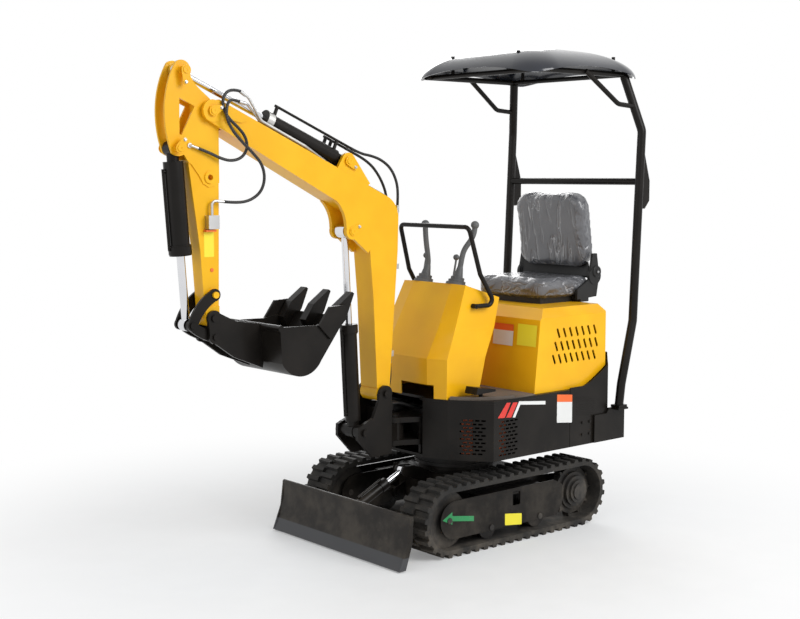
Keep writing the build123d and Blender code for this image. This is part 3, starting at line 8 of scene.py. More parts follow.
# %% Load the machine
import math
import bpy
import numpy as np
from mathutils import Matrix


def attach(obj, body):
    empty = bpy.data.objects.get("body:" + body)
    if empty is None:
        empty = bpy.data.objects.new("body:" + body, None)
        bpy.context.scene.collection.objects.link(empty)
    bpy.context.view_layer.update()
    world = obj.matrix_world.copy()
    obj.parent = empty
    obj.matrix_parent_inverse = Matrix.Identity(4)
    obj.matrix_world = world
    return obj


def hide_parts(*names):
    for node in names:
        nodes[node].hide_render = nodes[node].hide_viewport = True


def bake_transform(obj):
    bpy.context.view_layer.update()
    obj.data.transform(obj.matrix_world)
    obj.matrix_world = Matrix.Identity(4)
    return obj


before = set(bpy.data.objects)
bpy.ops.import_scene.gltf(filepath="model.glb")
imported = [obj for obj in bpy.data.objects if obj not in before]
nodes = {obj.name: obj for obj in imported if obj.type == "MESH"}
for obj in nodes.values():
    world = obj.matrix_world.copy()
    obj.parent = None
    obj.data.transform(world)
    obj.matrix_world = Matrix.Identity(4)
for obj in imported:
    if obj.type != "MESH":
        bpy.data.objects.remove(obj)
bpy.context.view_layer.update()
AXIS_Y = 371.2          # millimetres from the box's middle to the slew axis


def spot(x, y, z):
    """Point of the machine in metres, from millimetres across, behind and above the slew axis."""
    return np.array([x, y + AXIS_Y, z], float) / 1000


# %% [markdown]
# ## The camera
# The photograph was taken with a normal lens from the machine's front left
# corner, at chest height. A camera matrix made from three directions says this
# without angles: right, up, and back towards the photographer.

# %% Place the camera
from mathutils import Matrix


def frame_matrix(right, up, back, stand):
    """Matrix whose columns are three directions and a place."""
    return Matrix([(right[i], up[i], back[i], stand[i]) for i in range(3)] + [(0, 0, 0, 1)])


camera_data = bpy.data.cameras.new("photo_camera")
camera_data.lens = 59.94
camera_data.sensor_width = 36.0
camera = bpy.data.objects.new("photo_camera", camera_data)
bpy.context.scene.collection.objects.link(camera)
right = (0.6500, 0.7599, 0.0)
up = (-0.07635, 0.06531, 0.99494)
back = (0.75608, -0.64672, 0.10048)
stand = (4.777, -4.0798, 1.729)
camera.matrix_world = frame_matrix(right, up, back, stand)
camera_data.clip_end = 200.0
bpy.context.scene.camera = camera
bpy.context.scene.view_settings.view_transform = "Standard"
print("camera at", [round(v, 2) for v in camera.location])

# %% [markdown]
# ## The hoses
# A hydraulic hose is a fixed length of rubber tube between two fittings. Each
# is one smooth NURBS line through a few chosen corners, and a tube is then
# carried along the points that Blender reads back from that line. The tube is
# a mesh and not a bevelled curve.

# %% Surfaces on a grid
def mesh_object(name, points, faces, smooth=True, along=None):
    """New object from an array of points and a list of faces; along is a UV pair for each corner."""
    mesh = bpy.data.meshes.new(name)
    mesh.from_pydata(np.asarray(points, float).reshape(-1, 3).tolist(), [], faces)
    mesh.polygons.foreach_set("use_smooth", [smooth] * len(mesh.polygons))
    if along is not None:
        layer = mesh.uv_layers.new(name="along")
        corner = np.empty(len(mesh.loops), np.int32)
        mesh.loops.foreach_get("vertex_index", corner)
        layer.data.foreach_set("uv", np.asarray(along, float)[corner].ravel())
    mesh.update()
    made = bpy.data.objects.new(name, mesh)
    bpy.context.scene.collection.objects.link(made)
    return made


def ring_faces(rings, sides, first=0):
    """Quads between rings of points, each ring closed on itself."""
    index = first + np.arange(rings * sides).reshape(rings, sides)
    near, far = index[:-1], index[1:]
    quads = np.stack([near, np.roll(near, -1, 1), np.roll(far, -1, 1), far], -1)
    return quads.reshape(-1, 4).tolist()


BOX_FACES = [(0, 1, 2, 3), (7, 6, 5, 4), (0, 4, 5, 1), (1, 5, 6, 2), (2, 6, 7, 3), (3, 7, 4, 0)]


def grid_quads(shape):
    """Quads between the neighbours of an open grid of points, still laid out as a grid."""
    index = np.arange(shape[0] * shape[1]).reshape(shape)
    return np.stack([index[:-1, :-1], index[1:, :-1], index[1:, 1:], index[:-1, 1:]], -1)


def fan_faces(ring, centre, outward):
    """Triangles from a ring of point numbers to its centre point."""
    after = np.roll(ring, -1)
    middle = np.full(len(ring), centre)
    fans = np.stack([after, ring, middle] if outward else [ring, after, middle], -1)
    return fans.tolist()


def carried_tube(name, path, radii, sides=14, across=(1.0, 0.0, 0.0)):
    """Tube along a path: at each point a circle, of that point's radius, square to the path's direction."""
    path = np.asarray(path, float)
    radii = np.broadcast_to(np.asarray(radii, float), len(path))
    ahead = np.gradient(path, axis=0)
    ahead /= np.linalg.norm(ahead, axis=1)[:, None]
    side = np.cross(ahead, across)
    side /= np.linalg.norm(side, axis=1)[:, None]
    lift = np.cross(side, ahead)
    turn = np.linspace(0, 2 * math.pi, sides, endpoint=False)
    rings = path[:, None] + radii[:, None, None] * (
        np.cos(turn)[None, :, None] * side[:, None] + np.sin(turn)[None, :, None] * lift[:, None])
    count = len(path)
    points = np.vstack([rings.reshape(-1, 3), path[:1], path[-1:]])
    grid = np.arange(count * sides).reshape(count, sides)
    faces = [quad[::-1] for quad in ring_faces(count, sides)]
    faces += fan_faces(grid[0], count * sides, False) + fan_faces(grid[-1], count * sides + 1, True)
    run = np.concatenate([[0], np.cumsum(np.linalg.norm(np.diff(path, axis=0), axis=1))])
    uv = np.stack(np.meshgrid(run, turn / (2 * math.pi), indexing="ij"), -1).reshape(-1, 2)
    return mesh_object(name, points, faces, along=np.vstack([uv, [[0, 0], [run[-1], 0]]]))


# %% Lay the ten hoses
HOSE_DIAMETER = 0.013
routes = {
    "curl_hose_upper": ((52.02, -1128.52, 1837.91), (55, -1080.8, 1822), (60, -1032.8, 1800),
                        (66, -978.8, 1786), (72, -926.8, 1800), (78, -900.8, 1844),
                        (80, -916.8, 1894), (80, -954.8, 1930),
                        (78, -994.8, 1962), (76, -1022.8, 2006), (72, -1016.8, 2056), (66, -974.8, 2086),
                        (60, -924.8, 2078)),
    "curl_hose_lower": ((46, -921.8, 2036), (62, -968.8, 2046), (88, -1008.8, 2022), (98, -1020.8, 1968),
                        (98, -990.8, 1912), (98, -942.8, 1866), (98, -890.8, 1822), (96, -842.8, 1776),
                        (92, -824.8, 1716), (86, -840.8, 1658), (78, -890.8, 1622), (70, -952.8, 1612),
                        (62.04, -1012.5, 1617.97)),
    "crowd_hose_outer": ((20, -304.82, 1849.73), (20, -248.06, 1825.54), (20, -184.8, 1817),
                         (22, -124.8, 1798), (27, -74.8, 1762), (32, -44.8, 1708), (36, -35.8, 1648),
                         (38, -42.09, 1589.34)),
    "crowd_hose_inner": ((-20, -304.82, 1849.73), (-20, -248.06, 1825.54), (-22, -190.8, 1800),
                         (-26, -138.8, 1768), (-31, -95.8, 1724), (-35, -64.8, 1678), (-37, -46.8, 1634),
                         (-38, -42.09, 1589.34)),
}
for number, x in enumerate((-38, -13, 13, 38), 1):
    routes["foot_hose_%d" % number] = ((x, -89.41, 850.81), (x, -85.8, 802), (0.94 * x, -88.8, 757),
                                       (0.8 * x, -100.8, 714), (0.8 * x, -100.8, 668.3))
for number, s in enumerate((-1, 1), 1):
    routes["house_hose_%d" % number] = ((22 * s, -92.8, 650), (22 * s, -48.8, 655), (24.2 * s, -2.8, 649),
                                        (26.4 * s, 43.2, 632), (28.6 * s, 91.2, 614), (28.6 * s, 140.9, 614))
crossings = {"curl": ("boom", "arm"), "crowd": ("crowd_barrel", "boom"), "foot": ("boom", "swing_bracket"),
             "house": ("swing_bracket", "house")}


def hose_line(name, corners):
    """Points of the smooth line that a NURBS spline of order 3 draws from the corners."""
    curve = bpy.data.curves.new(name + "_line", "CURVE")
    curve.dimensions = "3D"
    curve.resolution_u = 8
    spline = curve.splines.new("NURBS")
    spline.points.add(len(corners) - 1)
    spline.points.foreach_set("co", np.hstack([np.array(corners) / 1000, np.ones((len(corners), 1))]).ravel())
    spline.order_u = 3
    spline.use_endpoint_u = True
    holder = bpy.data.objects.new(name + "_line", curve)
    bpy.context.scene.collection.objects.link(holder)
    line = bpy.data.meshes.new_from_object(holder)
    points = np.empty(len(line.vertices) * 3)
    line.vertices.foreach_get("co", points)
    bpy.data.objects.remove(holder)
    return points.reshape(-1, 3)


hoses = {}
for name, corners in routes.items():
    line = hose_line(name, corners)
    length = float(np.linalg.norm(np.diff(line, axis=0), axis=1).sum())
    hose = carried_tube(name + "_rubber", line, HOSE_DIAMETER / 2)
    near, far = crossings[name.split("_")[0]]
    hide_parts(name)
    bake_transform(hose)
    hoses[name] = hose
    print(name, round(length, 3), "m")

# %% [markdown]
# ## Light and floor
# The photograph has daylight from the machine's left and plain bright
# surroundings. One large lamp stands on the left, weak ones fill the front and
# the back, and rays that go straight to the camera see white.

# %% Set up the studio
def soft_lamp(name, place, target, size, watts):
    """Square area lamp that faces a target point."""
    data = bpy.data.lights.new(name, "AREA")
    data.size = size
    data.energy = watts
    lamp = bpy.data.objects.new(name, data)
    bpy.context.scene.collection.objects.link(lamp)
    from_target = np.array(place, float) - target
    from_target /= np.linalg.norm(from_target)
    level = np.cross((0, 0, 1), from_target)
    level /= np.linalg.norm(level)
    rise = np.cross(from_target, level)
    lamp.matrix_world = frame_matrix(level, rise, from_target, place)


middle = (0.0, 0.0, 1.0)
soft_lamp("key", (5.2, 1.2, 4.4), middle, 3.6, 255)
soft_lamp("front_fill", (-0.6, -5.2, 2.8), middle, 3.0, 40)
soft_lamp("rear_fill", (-4.6, 3.6, 3.4), middle, 3.4, 120)

world = bpy.data.worlds.new("studio")
bpy.context.scene.world = world
world.use_nodes = True
sky = world.node_tree
sky.nodes.clear()
seen = sky.nodes.new("ShaderNodeBackground")
seen.inputs["Color"].default_value = (1, 1, 1, 1)
seen.inputs["Strength"].default_value = 1.0
soft = sky.nodes.new("ShaderNodeBackground")
soft.inputs["Color"].default_value = (0.92, 0.96, 1.0, 1)
soft.inputs["Strength"].default_value = 0.5
rays = sky.nodes.new("ShaderNodeLightPath")
pick = sky.nodes.new("ShaderNodeMixShader")
sky_out = sky.nodes.new("ShaderNodeOutputWorld")
either = sky.nodes.new("ShaderNodeMath")
either.operation = "MAXIMUM"
mirrored = sky.nodes.new("ShaderNodeMath")
mirrored.operation = "MAXIMUM"
sky.links.new(rays.outputs["Is Glossy Ray"], mirrored.inputs[0])
sky.links.new(rays.outputs["Is Transmission Ray"], mirrored.inputs[1])
sky.links.new(rays.outputs["Is Camera Ray"], either.inputs[0])
sky.links.new(mirrored.outputs[0], either.inputs[1])
sky.links.new(either.outputs[0], pick.inputs[0])
sky.links.new(soft.outputs[0], pick.inputs[1])
sky.links.new(seen.outputs[0], pick.inputs[2])
sky.links.new(pick.outputs[0], sky_out.inputs[0])

span = 30.0
floor = mesh_object("studio_floor", [(-span, -span, 0), (span, -span, 0), (span, span, 0), (-span, span, 0)],
                    [(0, 1, 2, 3)], smooth=False)
print("studio ready")

# %% [markdown]
# ## Shared finishes
# Paint, rubber and steel all show the same few things: slight changes of
# colour, grain, scuffs and dust that settles low down. Each of them is a node
# group with named inputs, made once and placed in each material with its own
# values. The groups give only colours and numbers, and the shader stays in the
# material, where it is easy to see.

# %% Node helpers
def new_group(name, inputs, outputs):
    """Empty node group with typed sockets; inputs are name, kind and default value."""
    group = bpy.data.node_groups.new(name, "ShaderNodeTree")
    kinds = {"value": "NodeSocketFloat", "colour": "NodeSocketColor", "vector": "NodeSocketVector"}
    for label, kind, value in inputs:
        socket = group.interface.new_socket(name=label, in_out="INPUT", socket_type=kinds[kind])
        if value is not None:
            socket.default_value = value
    for label, kind in outputs:
        group.interface.new_socket(name=label, in_out="OUTPUT", socket_type=kinds[kind])
    return group, Wiring(group)


class Wiring:
    """Short words for adding nodes to a tree: a link or a number may be given for each input."""

    def __init__(self, tree):
        self.tree = tree

    def feed(self, socket, value):
        if isinstance(value, bpy.types.NodeSocket):
            self.tree.links.new(value, socket)
        elif value is not None:
            socket.default_value = value

    def add(self, kind, **settings):
        node = self.tree.nodes.new(kind)
        for key, value in settings.items():
            setattr(node, key, value)
        return node

    def maths(self, operation, a, b=None, clamp=False):
        node = self.add("ShaderNodeMath", operation=operation, use_clamp=clamp)
        self.feed(node.inputs[0], a)
        self.feed(node.inputs[1], b)
        return node.outputs[0]

    def blur(self, vector, scale, detail=3.0, rough=0.5):
        node = self.add("ShaderNodeTexNoise")
        self.feed(node.inputs["Vector"], vector)
        self.feed(node.inputs["Scale"], scale)
        node.inputs["Detail"].default_value = detail
        node.inputs["Roughness"].default_value = rough
        return node.outputs["Fac"]

    def ramp(self, value, low, high, to_low=0.0, to_high=1.0):
        node = self.add("ShaderNodeMapRange", interpolation_type="SMOOTHSTEP")
        for socket, number in zip(node.inputs, (value, low, high, to_low, to_high)):
            self.feed(socket, number)
        return node.outputs[0]

    def mix(self, share, a, b, how="MIX"):
        node = self.add("ShaderNodeMix", data_type="RGBA", blend_type=how, clamp_factor=True)
        self.feed(node.inputs[0], share)
        self.feed(node.inputs[6], a)
        self.feed(node.inputs[7], b)
        return node.outputs[2]

    def place(self):
        return self.add("ShaderNodeTexCoord").outputs["Object"]

    def height(self, vector):
        node = self.add("ShaderNodeSeparateXYZ")
        self.feed(node.inputs[0], vector)
        return node.outputs[2]

    def stretch(self, vector, scale):
        node = self.add("ShaderNodeMapping")
        self.feed(node.inputs["Vector"], vector)
        node.inputs["Scale"].default_value = scale
        return node.outputs[0]

    def bump(self, height, strength, distance, normal=None):
        node = self.add("ShaderNodeBump")
        self.feed(node.inputs["Height"], height)
        self.feed(node.inputs["Strength"], strength)
        self.feed(node.inputs["Distance"], distance)
        self.feed(node.inputs["Normal"], normal)
        return node.outputs[0]


# %% Dust, scuffs and grain as node groups
dust_group, w = new_group(
    "settled_dust",
    [("Vector", "vector", None), ("Color", "colour", (1, 1, 1, 1)),
     ("Dust Color", "colour", (0.42, 0.36, 0.28, 1)), ("Reach", "value", 0.5),
     ("Amount", "value", 0.3), ("Base Roughness", "value", 0.4)],
    [("Color", "colour"), ("Roughness", "value")])
inp = w.add("NodeGroupInput").outputs
out = w.add("NodeGroupOutput").inputs
low = w.ramp(w.height(inp["Vector"]), 0.0, inp["Reach"], 1.0, 0.0)
patches = w.ramp(w.blur(inp["Vector"], 7.0, 6.0, 0.62), 0.38, 0.68)
mask = w.maths("MULTIPLY", w.maths("MULTIPLY", low, patches), inp["Amount"], clamp=True)
w.feed(out["Color"], w.mix(mask, inp["Color"], inp["Dust Color"]))
w.feed(out["Roughness"], w.maths("ADD", inp["Base Roughness"], w.maths("MULTIPLY", mask, 0.45), clamp=True))

scuff_group, w = new_group(
    "fine_scuffs",
    [("Vector", "vector", None), ("Density", "value", 0.5), ("Scale", "value", 38.0)],
    [("Mask", "value"), ("Height", "value")])
inp = w.add("NodeGroupInput").outputs
out = w.add("NodeGroupOutput").inputs
streak = w.blur(w.stretch(inp["Vector"], (1.0, 6.0, 1.4)), inp["Scale"], 4.0, 0.6)
field = w.blur(inp["Vector"], 4.0, 2.0)
mask = w.maths("MULTIPLY", w.ramp(streak, 0.62, 0.72), w.ramp(field, 0.45, 0.7), clamp=True)
w.feed(out["Mask"], w.maths("MULTIPLY", mask, inp["Density"], clamp=True))
w.feed(out["Height"], w.maths("SUBTRACT", 1.0, mask))

grain_group, w = new_group(
    "surface_grain",
    [("Vector", "vector", None), ("Scale", "value", 300.0), ("Drift Scale", "value", 5.0),
     ("Color A", "colour", (1, 1, 1, 1)), ("Color B", "colour", (1, 1, 1, 1))],
    [("Color", "colour"), ("Height", "value"), ("Drift", "value")])
inp = w.add("NodeGroupInput").outputs
out = w.add("NodeGroupOutput").inputs
drift = w.blur(inp["Vector"], inp["Drift Scale"], 3.0)
w.feed(out["Color"], w.mix(w.ramp(drift, 0.35, 0.68), inp["Color A"], inp["Color B"]))
w.feed(out["Height"], w.blur(inp["Vector"], inp["Scale"], 2.0))
w.feed(out["Drift"], drift)
print(len(bpy.data.node_groups), "shared effects")

# %% [markdown]
# ## The machine's finishes
# One recipe makes every hard finish: two near colours that drift into each
# other, a fine grain, scuffs and dust. What changes is how rough it is, how
# much clear coat lies on it and how much dust it holds, so each finish is one
# line of values.

# %% Mix the finishes
def use_group(w, group, **values):
    """Places a shared effect and feeds its named inputs."""
    node = w.add("ShaderNodeGroup", node_tree=group)
    for label, value in values.items():
        w.feed(node.inputs[label.replace("_", " ")], value)
    return node.outputs


def finish(name, colour_a, colour_b, rough, grain, grain_depth, metallic=0.0, coat=0.0, scuff=0.25,
           scuff_colour=(0.5, 0.5, 0.5, 1), dust=0.3, dust_reach=0.6, drift=5.0,
           dust_colour=(0.40, 0.34, 0.27, 1), mirror=0.5):
    """Hard finish from two drifting colours, grain, scuffs and settled dust."""
    material = bpy.data.materials.new(name)
    material.use_nodes = True
    w = Wiring(material.node_tree)
    shader = material.node_tree.nodes["Principled BSDF"]
    shader.inputs["Metallic"].default_value = metallic
    shader.inputs["Coat Weight"].default_value = coat
    shader.inputs["Coat Roughness"].default_value = 0.08
    shader.inputs["Specular IOR Level"].default_value = mirror
    place = w.place()
    skin = use_group(w, grain_group, Vector=place, Scale=grain, Drift_Scale=drift, Color_A=(*colour_a, 1),
                     Color_B=(*colour_b, 1))
    scuffs = use_group(w, scuff_group, Vector=place, Density=scuff)
    colour = w.mix(scuffs["Mask"], skin["Color"], scuff_colour)
    dusty = use_group(w, dust_group, Vector=place, Color=colour, Dust_Color=dust_colour, Reach=dust_reach,
                      Amount=dust, Base_Roughness=rough)
    w.feed(shader.inputs["Base Color"], dusty["Color"])
    varied = w.maths("ADD", dusty["Roughness"], w.ramp(skin["Drift"], 0.3, 0.7, -0.05, 0.05), clamp=True)
    w.feed(shader.inputs["Roughness"], varied)
    w.feed(shader.inputs["Normal"], w.bump(skin["Height"], 0.5, grain_depth, None))
    return material


yellow = finish("yellow_enamel", (0.90, 0.455, 0.006), (0.94, 0.50, 0.008), 0.36, 420, 0.00010, coat=0.12,
                scuff=0.10, scuff_colour=(0.72, 0.36, 0.04, 1), dust=0.14, mirror=0.25)
black = finish("black_enamel", (0.0075, 0.0062, 0.0052), (0.013, 0.0108, 0.009), 0.34, 500, 0.00014,
               coat=0.03, scuff=0.22, scuff_colour=(0.045, 0.038, 0.032, 1), dust=0.08, mirror=0.15)
rubber = finish("track_rubber_dusty", (0.014, 0.0135, 0.013), (0.026, 0.024, 0.022), 0.72, 260, 0.0005,
                scuff=0.5, scuff_colour=(0.075, 0.068, 0.06, 1), dust=0.22, dust_reach=0.45, mirror=0.3)
hose_black = finish("hose_rubber", (0.010, 0.010, 0.010), (0.017, 0.0165, 0.016), 0.42, 900, 0.00008,
                    scuff=0.1, scuff_colour=(0.05, 0.05, 0.05, 1), dust=0.0, mirror=0.35)
cast = finish("cast_iron_painted", (0.013, 0.0125, 0.012), (0.028, 0.025, 0.023), 0.5, 180, 0.0006,
              scuff=0.4, scuff_colour=(0.07, 0.06, 0.05, 1), dust=0.22, mirror=0.3)
steel = finish("zinc_steel", (0.50, 0.50, 0.50), (0.62, 0.61, 0.58), 0.34, 600, 0.00008, metallic=1.0,
               scuff=0.3, scuff_colour=(0.3, 0.28, 0.25, 1), dust=0.1)
chrome = finish("hard_chrome", (0.66, 0.67, 0.69), (0.74, 0.74, 0.76), 0.12, 700, 0.00003, metallic=1.0,
                scuff=0.1, dust=0.05)
roof_black = finish("roof_shell_gloss", (0.008, 0.010, 0.017), (0.012, 0.015, 0.024), 0.16, 350, 0.00018,
                    coat=0.45, scuff=0.12, scuff_colour=(0.07, 0.08, 0.10, 1), dust=0.0, mirror=0.4)
plastic = finish("black_plastic", (0.012, 0.012, 0.012), (0.020, 0.020, 0.020), 0.5, 900, 0.00025, scuff=0.2,
                 scuff_colour=(0.06, 0.06, 0.06, 1), dust=0.1, mirror=0.3)
grip = finish("grip_rubber", (0.085, 0.087, 0.088), (0.12, 0.12, 0.118), 0.55, 700, 0.0003, scuff=0.2,
              dust=0.1)
mat = finish("floor_mat_rubber", (0.085, 0.066, 0.052), (0.125, 0.098, 0.078), 0.7, 420, 0.0006, scuff=0.5,
             scuff_colour=(0.22, 0.19, 0.16, 1), dust=0.3, dust_reach=1.4)
orange = finish("orange_plastic", (0.85, 0.14, 0.02), (0.9, 0.18, 0.03), 0.4, 500, 0.0001, dust=0.1)
red = finish("red_film", (0.72, 0.035, 0.025), (0.78, 0.045, 0.03), 0.4, 600, 0.00004, dust=0.05)
white = finish("white_film", (0.78, 0.78, 0.76), (0.83, 0.83, 0.81), 0.38, 600, 0.00004, dust=0.05)
sticker_yellow = finish("yellow_film", (0.90, 0.78, 0.03), (0.92, 0.80, 0.04), 0.4, 600, 0.00004, dust=0.05)
green = finish("green_film", (0.012, 0.24, 0.07), (0.018, 0.27, 0.085), 0.4, 600, 0.00004, dust=0.05)
print(len(bpy.data.materials), "finishes")

# %% Put the finishes on the CAD pieces
coats = {
    yellow: "engine_hood console boom arm",
    black: "carbody track_frame_left track_frame_right blade_cylinder_barrel house_frame deck_plate"
           " side_panels tail_skirt oil_tank grab_bar pedal canopy_mounts canopy_frame swing_bracket"
           " lift_cylinder_barrel crowd_cylinder_barrel curl_cylinder_barrel bucket_rocker bucket bucket_link blade",
    rubber: "track_belt_left track_belt_right",
    cast: "track_rollers_left track_rollers_right drive_sprocket_left drive_sprocket_right engine_block"
          " slew_ring",
    steel: "boom_pipes arm_fittings",
    chrome: "blade_cylinder_rod lift_cylinder_rod crowd_cylinder_rod curl_cylinder_rod",
    roof_black: "canopy_roof", plastic: "seat_frame", grip: "control_levers", mat: "floor_mat",
}


def dress(thing, material):
    """Gives an object one material in place of all it had."""
    thing.data.materials.clear()
    thing.data.materials.append(material)


for material, names in coats.items():
    for name in names.split():
        dress(nodes[name], material)

# %% [markdown]
# The floor is matt and pale near the machine, so that it keeps the shadow, and
# turns to plain white further out, where it meets the white surroundings.

# %% Fade the floor to white
floor_look = finish("studio_floor", (0.86, 0.86, 0.855), (0.88, 0.88, 0.875), 0.85, 60, 0.0002, scuff=0.0,
                    dust=0.0)
w = Wiring(floor_look.node_tree)
away = w.add("ShaderNodeVectorMath", operation="LENGTH")
w.feed(away.inputs[0], w.place())
far = w.ramp(away.outputs["Value"], 0.7, 2.9, 0.22, 1.0)
light = w.add("ShaderNodeLightPath").outputs
direct = w.maths("MAXIMUM", light["Is Camera Ray"], light["Is Glossy Ray"])
glow = w.add("ShaderNodeEmission")
blend = w.add("ShaderNodeMixShader")
w.feed(blend.inputs[0], w.maths("MULTIPLY", far, direct))
shader_out = floor_look.node_tree.nodes["Material Output"]
floor_look.node_tree.links.new(floor_look.node_tree.nodes["Principled BSDF"].outputs[0], blend.inputs[1])
floor_look.node_tree.links.new(glow.outputs[0], blend.inputs[2])
floor_look.node_tree.links.new(blend.outputs[0], shader_out.inputs[0])
dress(floor, floor_look)
print("floor fades to white")

# %% [markdown]
# ## Spiral-wrapped hoses
# The long hoses at the arm wear a plastic spiral against rubbing. The tube's
# own UV layer says how far along and how far round each point is, so one line
# of arithmetic winds the band: the run in pitches plus the turn. The band
# raises a ridge and is also lightened to grey, a painted highlight on the ridge.

# %% Wind the band
wound = finish("hose_spiral_wrap", (0.012, 0.012, 0.012), (0.02, 0.02, 0.019), 0.36, 900, 0.00006, scuff=0.1,
               scuff_colour=(0.05, 0.05, 0.05, 1), dust=0.0, mirror=0.4)
w = Wiring(wound.node_tree)
parts = w.add("ShaderNodeSeparateXYZ")
w.feed(parts.inputs[0], w.add("ShaderNodeUVMap", uv_map="along").outputs[0])
PITCH = 0.0095
phase = w.maths("FRACT", w.maths("ADD", w.maths("DIVIDE", parts.outputs[0], PITCH), parts.outputs[1]))
band = w.ramp(w.maths("ABSOLUTE", w.maths("SUBTRACT", phase, 0.5)), 0.10, 0.30)
wound_shader = wound.node_tree.nodes["Principled BSDF"]
rib = w.bump(band, 1.0, 0.0016, wound_shader.inputs["Normal"].links[0].from_socket)
w.feed(wound_shader.inputs["Normal"], rib)
plain = wound_shader.inputs["Base Color"].links[0].from_socket
# Painted highlight: the band's ridges are lightened towards grey in the colour, standing in for light glinting on
# the spiral.
band_with_highlight = w.mix(w.maths("MULTIPLY", band, 0.5), plain, (0.065, 0.065, 0.068, 1))
w.feed(wound_shader.inputs["Base Color"], band_with_highlight)
for name, hose in hoses.items():
    dress(hose, wound if name.startswith("curl") else hose_black)
print(len(hoses), "hoses dressed")

# %% [markdown]
# ## The blade's lower strip
# The strip along the ground is worn to a dull grey. Its height decides where
# it begins.

# %% Grey the strip
STRIP_START, STRIP_END = 0.058, 0.064
blade_look = finish("blade_enamel", (0.013, 0.0105, 0.0085), (0.020, 0.0165, 0.0135), 0.42, 300, 0.0002,
                    scuff=0.3, scuff_colour=(0.06, 0.05, 0.04, 1), dust=0.12, mirror=0.2)
w = Wiring(blade_look.node_tree)
blade_shader = blade_look.node_tree.nodes["Principled BSDF"]
worn = w.ramp(w.height(w.place()), STRIP_START, STRIP_END, 1.0, 0.0)
painted = blade_shader.inputs["Base Color"].links[0].from_socket
w.feed(blade_shader.inputs["Base Color"], w.mix(worn, painted, (0.075, 0.075, 0.078, 1)))
dress(nodes["blade"], blade_look)
print("blade strip greyed")

# %% [markdown]
# ## Seat covers
# The seat is foam under grey vinyl, still in its clear wrapper. Foam bulges
# between its edges, so each pad is a copy of its CAD block, remeshed evenly and
# blown up a little by a short cloth simulation. The wrapper shows as gloss,
# long creases and pale streaks along them, which are painted highlights.

# %% Blow up a pad
import bmesh

VOXEL = 0.006
PAD_INSET = 0.004


def even_copy(node, name):
    """Closed copy of a CAD block, rebuilt as even voxels and drawn in on each side."""
    pad = bpy.data.objects.new(name, nodes[node].data.copy())
    bpy.context.scene.collection.objects.link(pad)
    shell = bmesh.new()
    shell.from_mesh(pad.data)
    bmesh.ops.remove_doubles(shell, verts=shell.verts, dist=1e-5)
    shell.to_mesh(pad.data)
    shell.free()
    remesh = pad.modifiers.new("even", "REMESH")
    remesh.mode = "VOXEL"
    remesh.voxel_size = VOXEL
    even = bpy.data.meshes.new_from_object(pad.evaluated_get(bpy.context.evaluated_depsgraph_get()))
    pad.modifiers.clear()
    pad.data = even
    points = read_points(even)
    centre = (points.min(0) + points.max(0)) / 2
    half = (points.max(0) - points.min(0)) / 2
    write_points(even, centre + (points - centre) * (1 - PAD_INSET / half))
    return pad


def read_points(mesh):
    """All points of a mesh as one array."""
    points = np.empty(len(mesh.vertices) * 3)
    mesh.vertices.foreach_get("co", points)
    return points.reshape(-1, 3)


def write_points(mesh, points):
    """Puts an array of points back into a mesh."""
    mesh.vertices.foreach_set("co", np.asarray(points, float).ravel())
    mesh.update()


def blow_up(pad, cap, frames=18):
    """Runs a pressure simulation and moves each point by its result, at most by the cap."""
    before = read_points(pad.data)
    cloth = pad.modifiers.new("foam", "CLOTH")
    cloth.settings.use_pressure = True
    cloth.settings.uniform_pressure_force = 4.0
    cloth.settings.effector_weights.gravity = 0.0
    cloth.settings.quality = 4
    scene = bpy.context.scene
    for step in range(1, frames + 1):
        scene.frame_set(step)
    result = bpy.data.meshes.new_from_object(pad.evaluated_get(bpy.context.evaluated_depsgraph_get()))
    move = read_points(result) - before
    reach = np.linalg.norm(move, axis=1)[:, None]
    pad.modifiers.clear()
    write_points(pad.data, before + move * np.minimum(1, cap / np.maximum(reach, 1e-9)))
    scene.frame_set(1)


pads = {}
for node, cap in (("seat_cushion", 0.010), ("seat_back", 0.010)):
    pad = even_copy(node, node + "_cover")
    blow_up(pad, cap)
    smooth = pad.modifiers.new("fine", "SUBSURF")
    smooth.levels = 1
    smooth.render_levels = 1
    pad.data.polygons.foreach_set("use_smooth", [True] * len(pad.data.polygons))
    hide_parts(node)
    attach(pad, "house")
    pads[node] = pad
    print(pad.name, len(pad.data.vertices), "points")

# %% Vinyl in a clear wrapper
film_group, w = new_group(
    "film_creases_and_highlights",
    [("Vector", "vector", None), ("Scale", "value", 6.0), ("Stretch", "vector", (1.0, 1.0, 0.18))],
    [("Height", "value"), ("Crease Highlight", "value")])
inp = w.add("NodeGroupInput").outputs
out = w.add("NodeGroupOutput").inputs
mapping = w.add("ShaderNodeVectorMath", operation="MULTIPLY")
w.feed(mapping.inputs[0], inp["Vector"])
w.feed(mapping.inputs[1], inp["Stretch"])
warped = w.add("ShaderNodeTexNoise")
w.feed(warped.inputs["Vector"], mapping.outputs[0])
w.feed(warped.inputs["Scale"], inp["Scale"])
warped.inputs["Detail"].default_value = 5.0
warped.inputs["Distortion"].default_value = 1.6
ridge = w.maths("ABSOLUTE", w.maths("SUBTRACT", warped.outputs["Fac"], 0.5))
w.feed(out["Height"], w.ramp(ridge, 0.0, 0.09))
# The second output is a painted highlight: a mask along the crease lines, where the vinyl is lightened.
w.feed(out["Crease Highlight"], w.ramp(ridge, 0.016, 0.0))


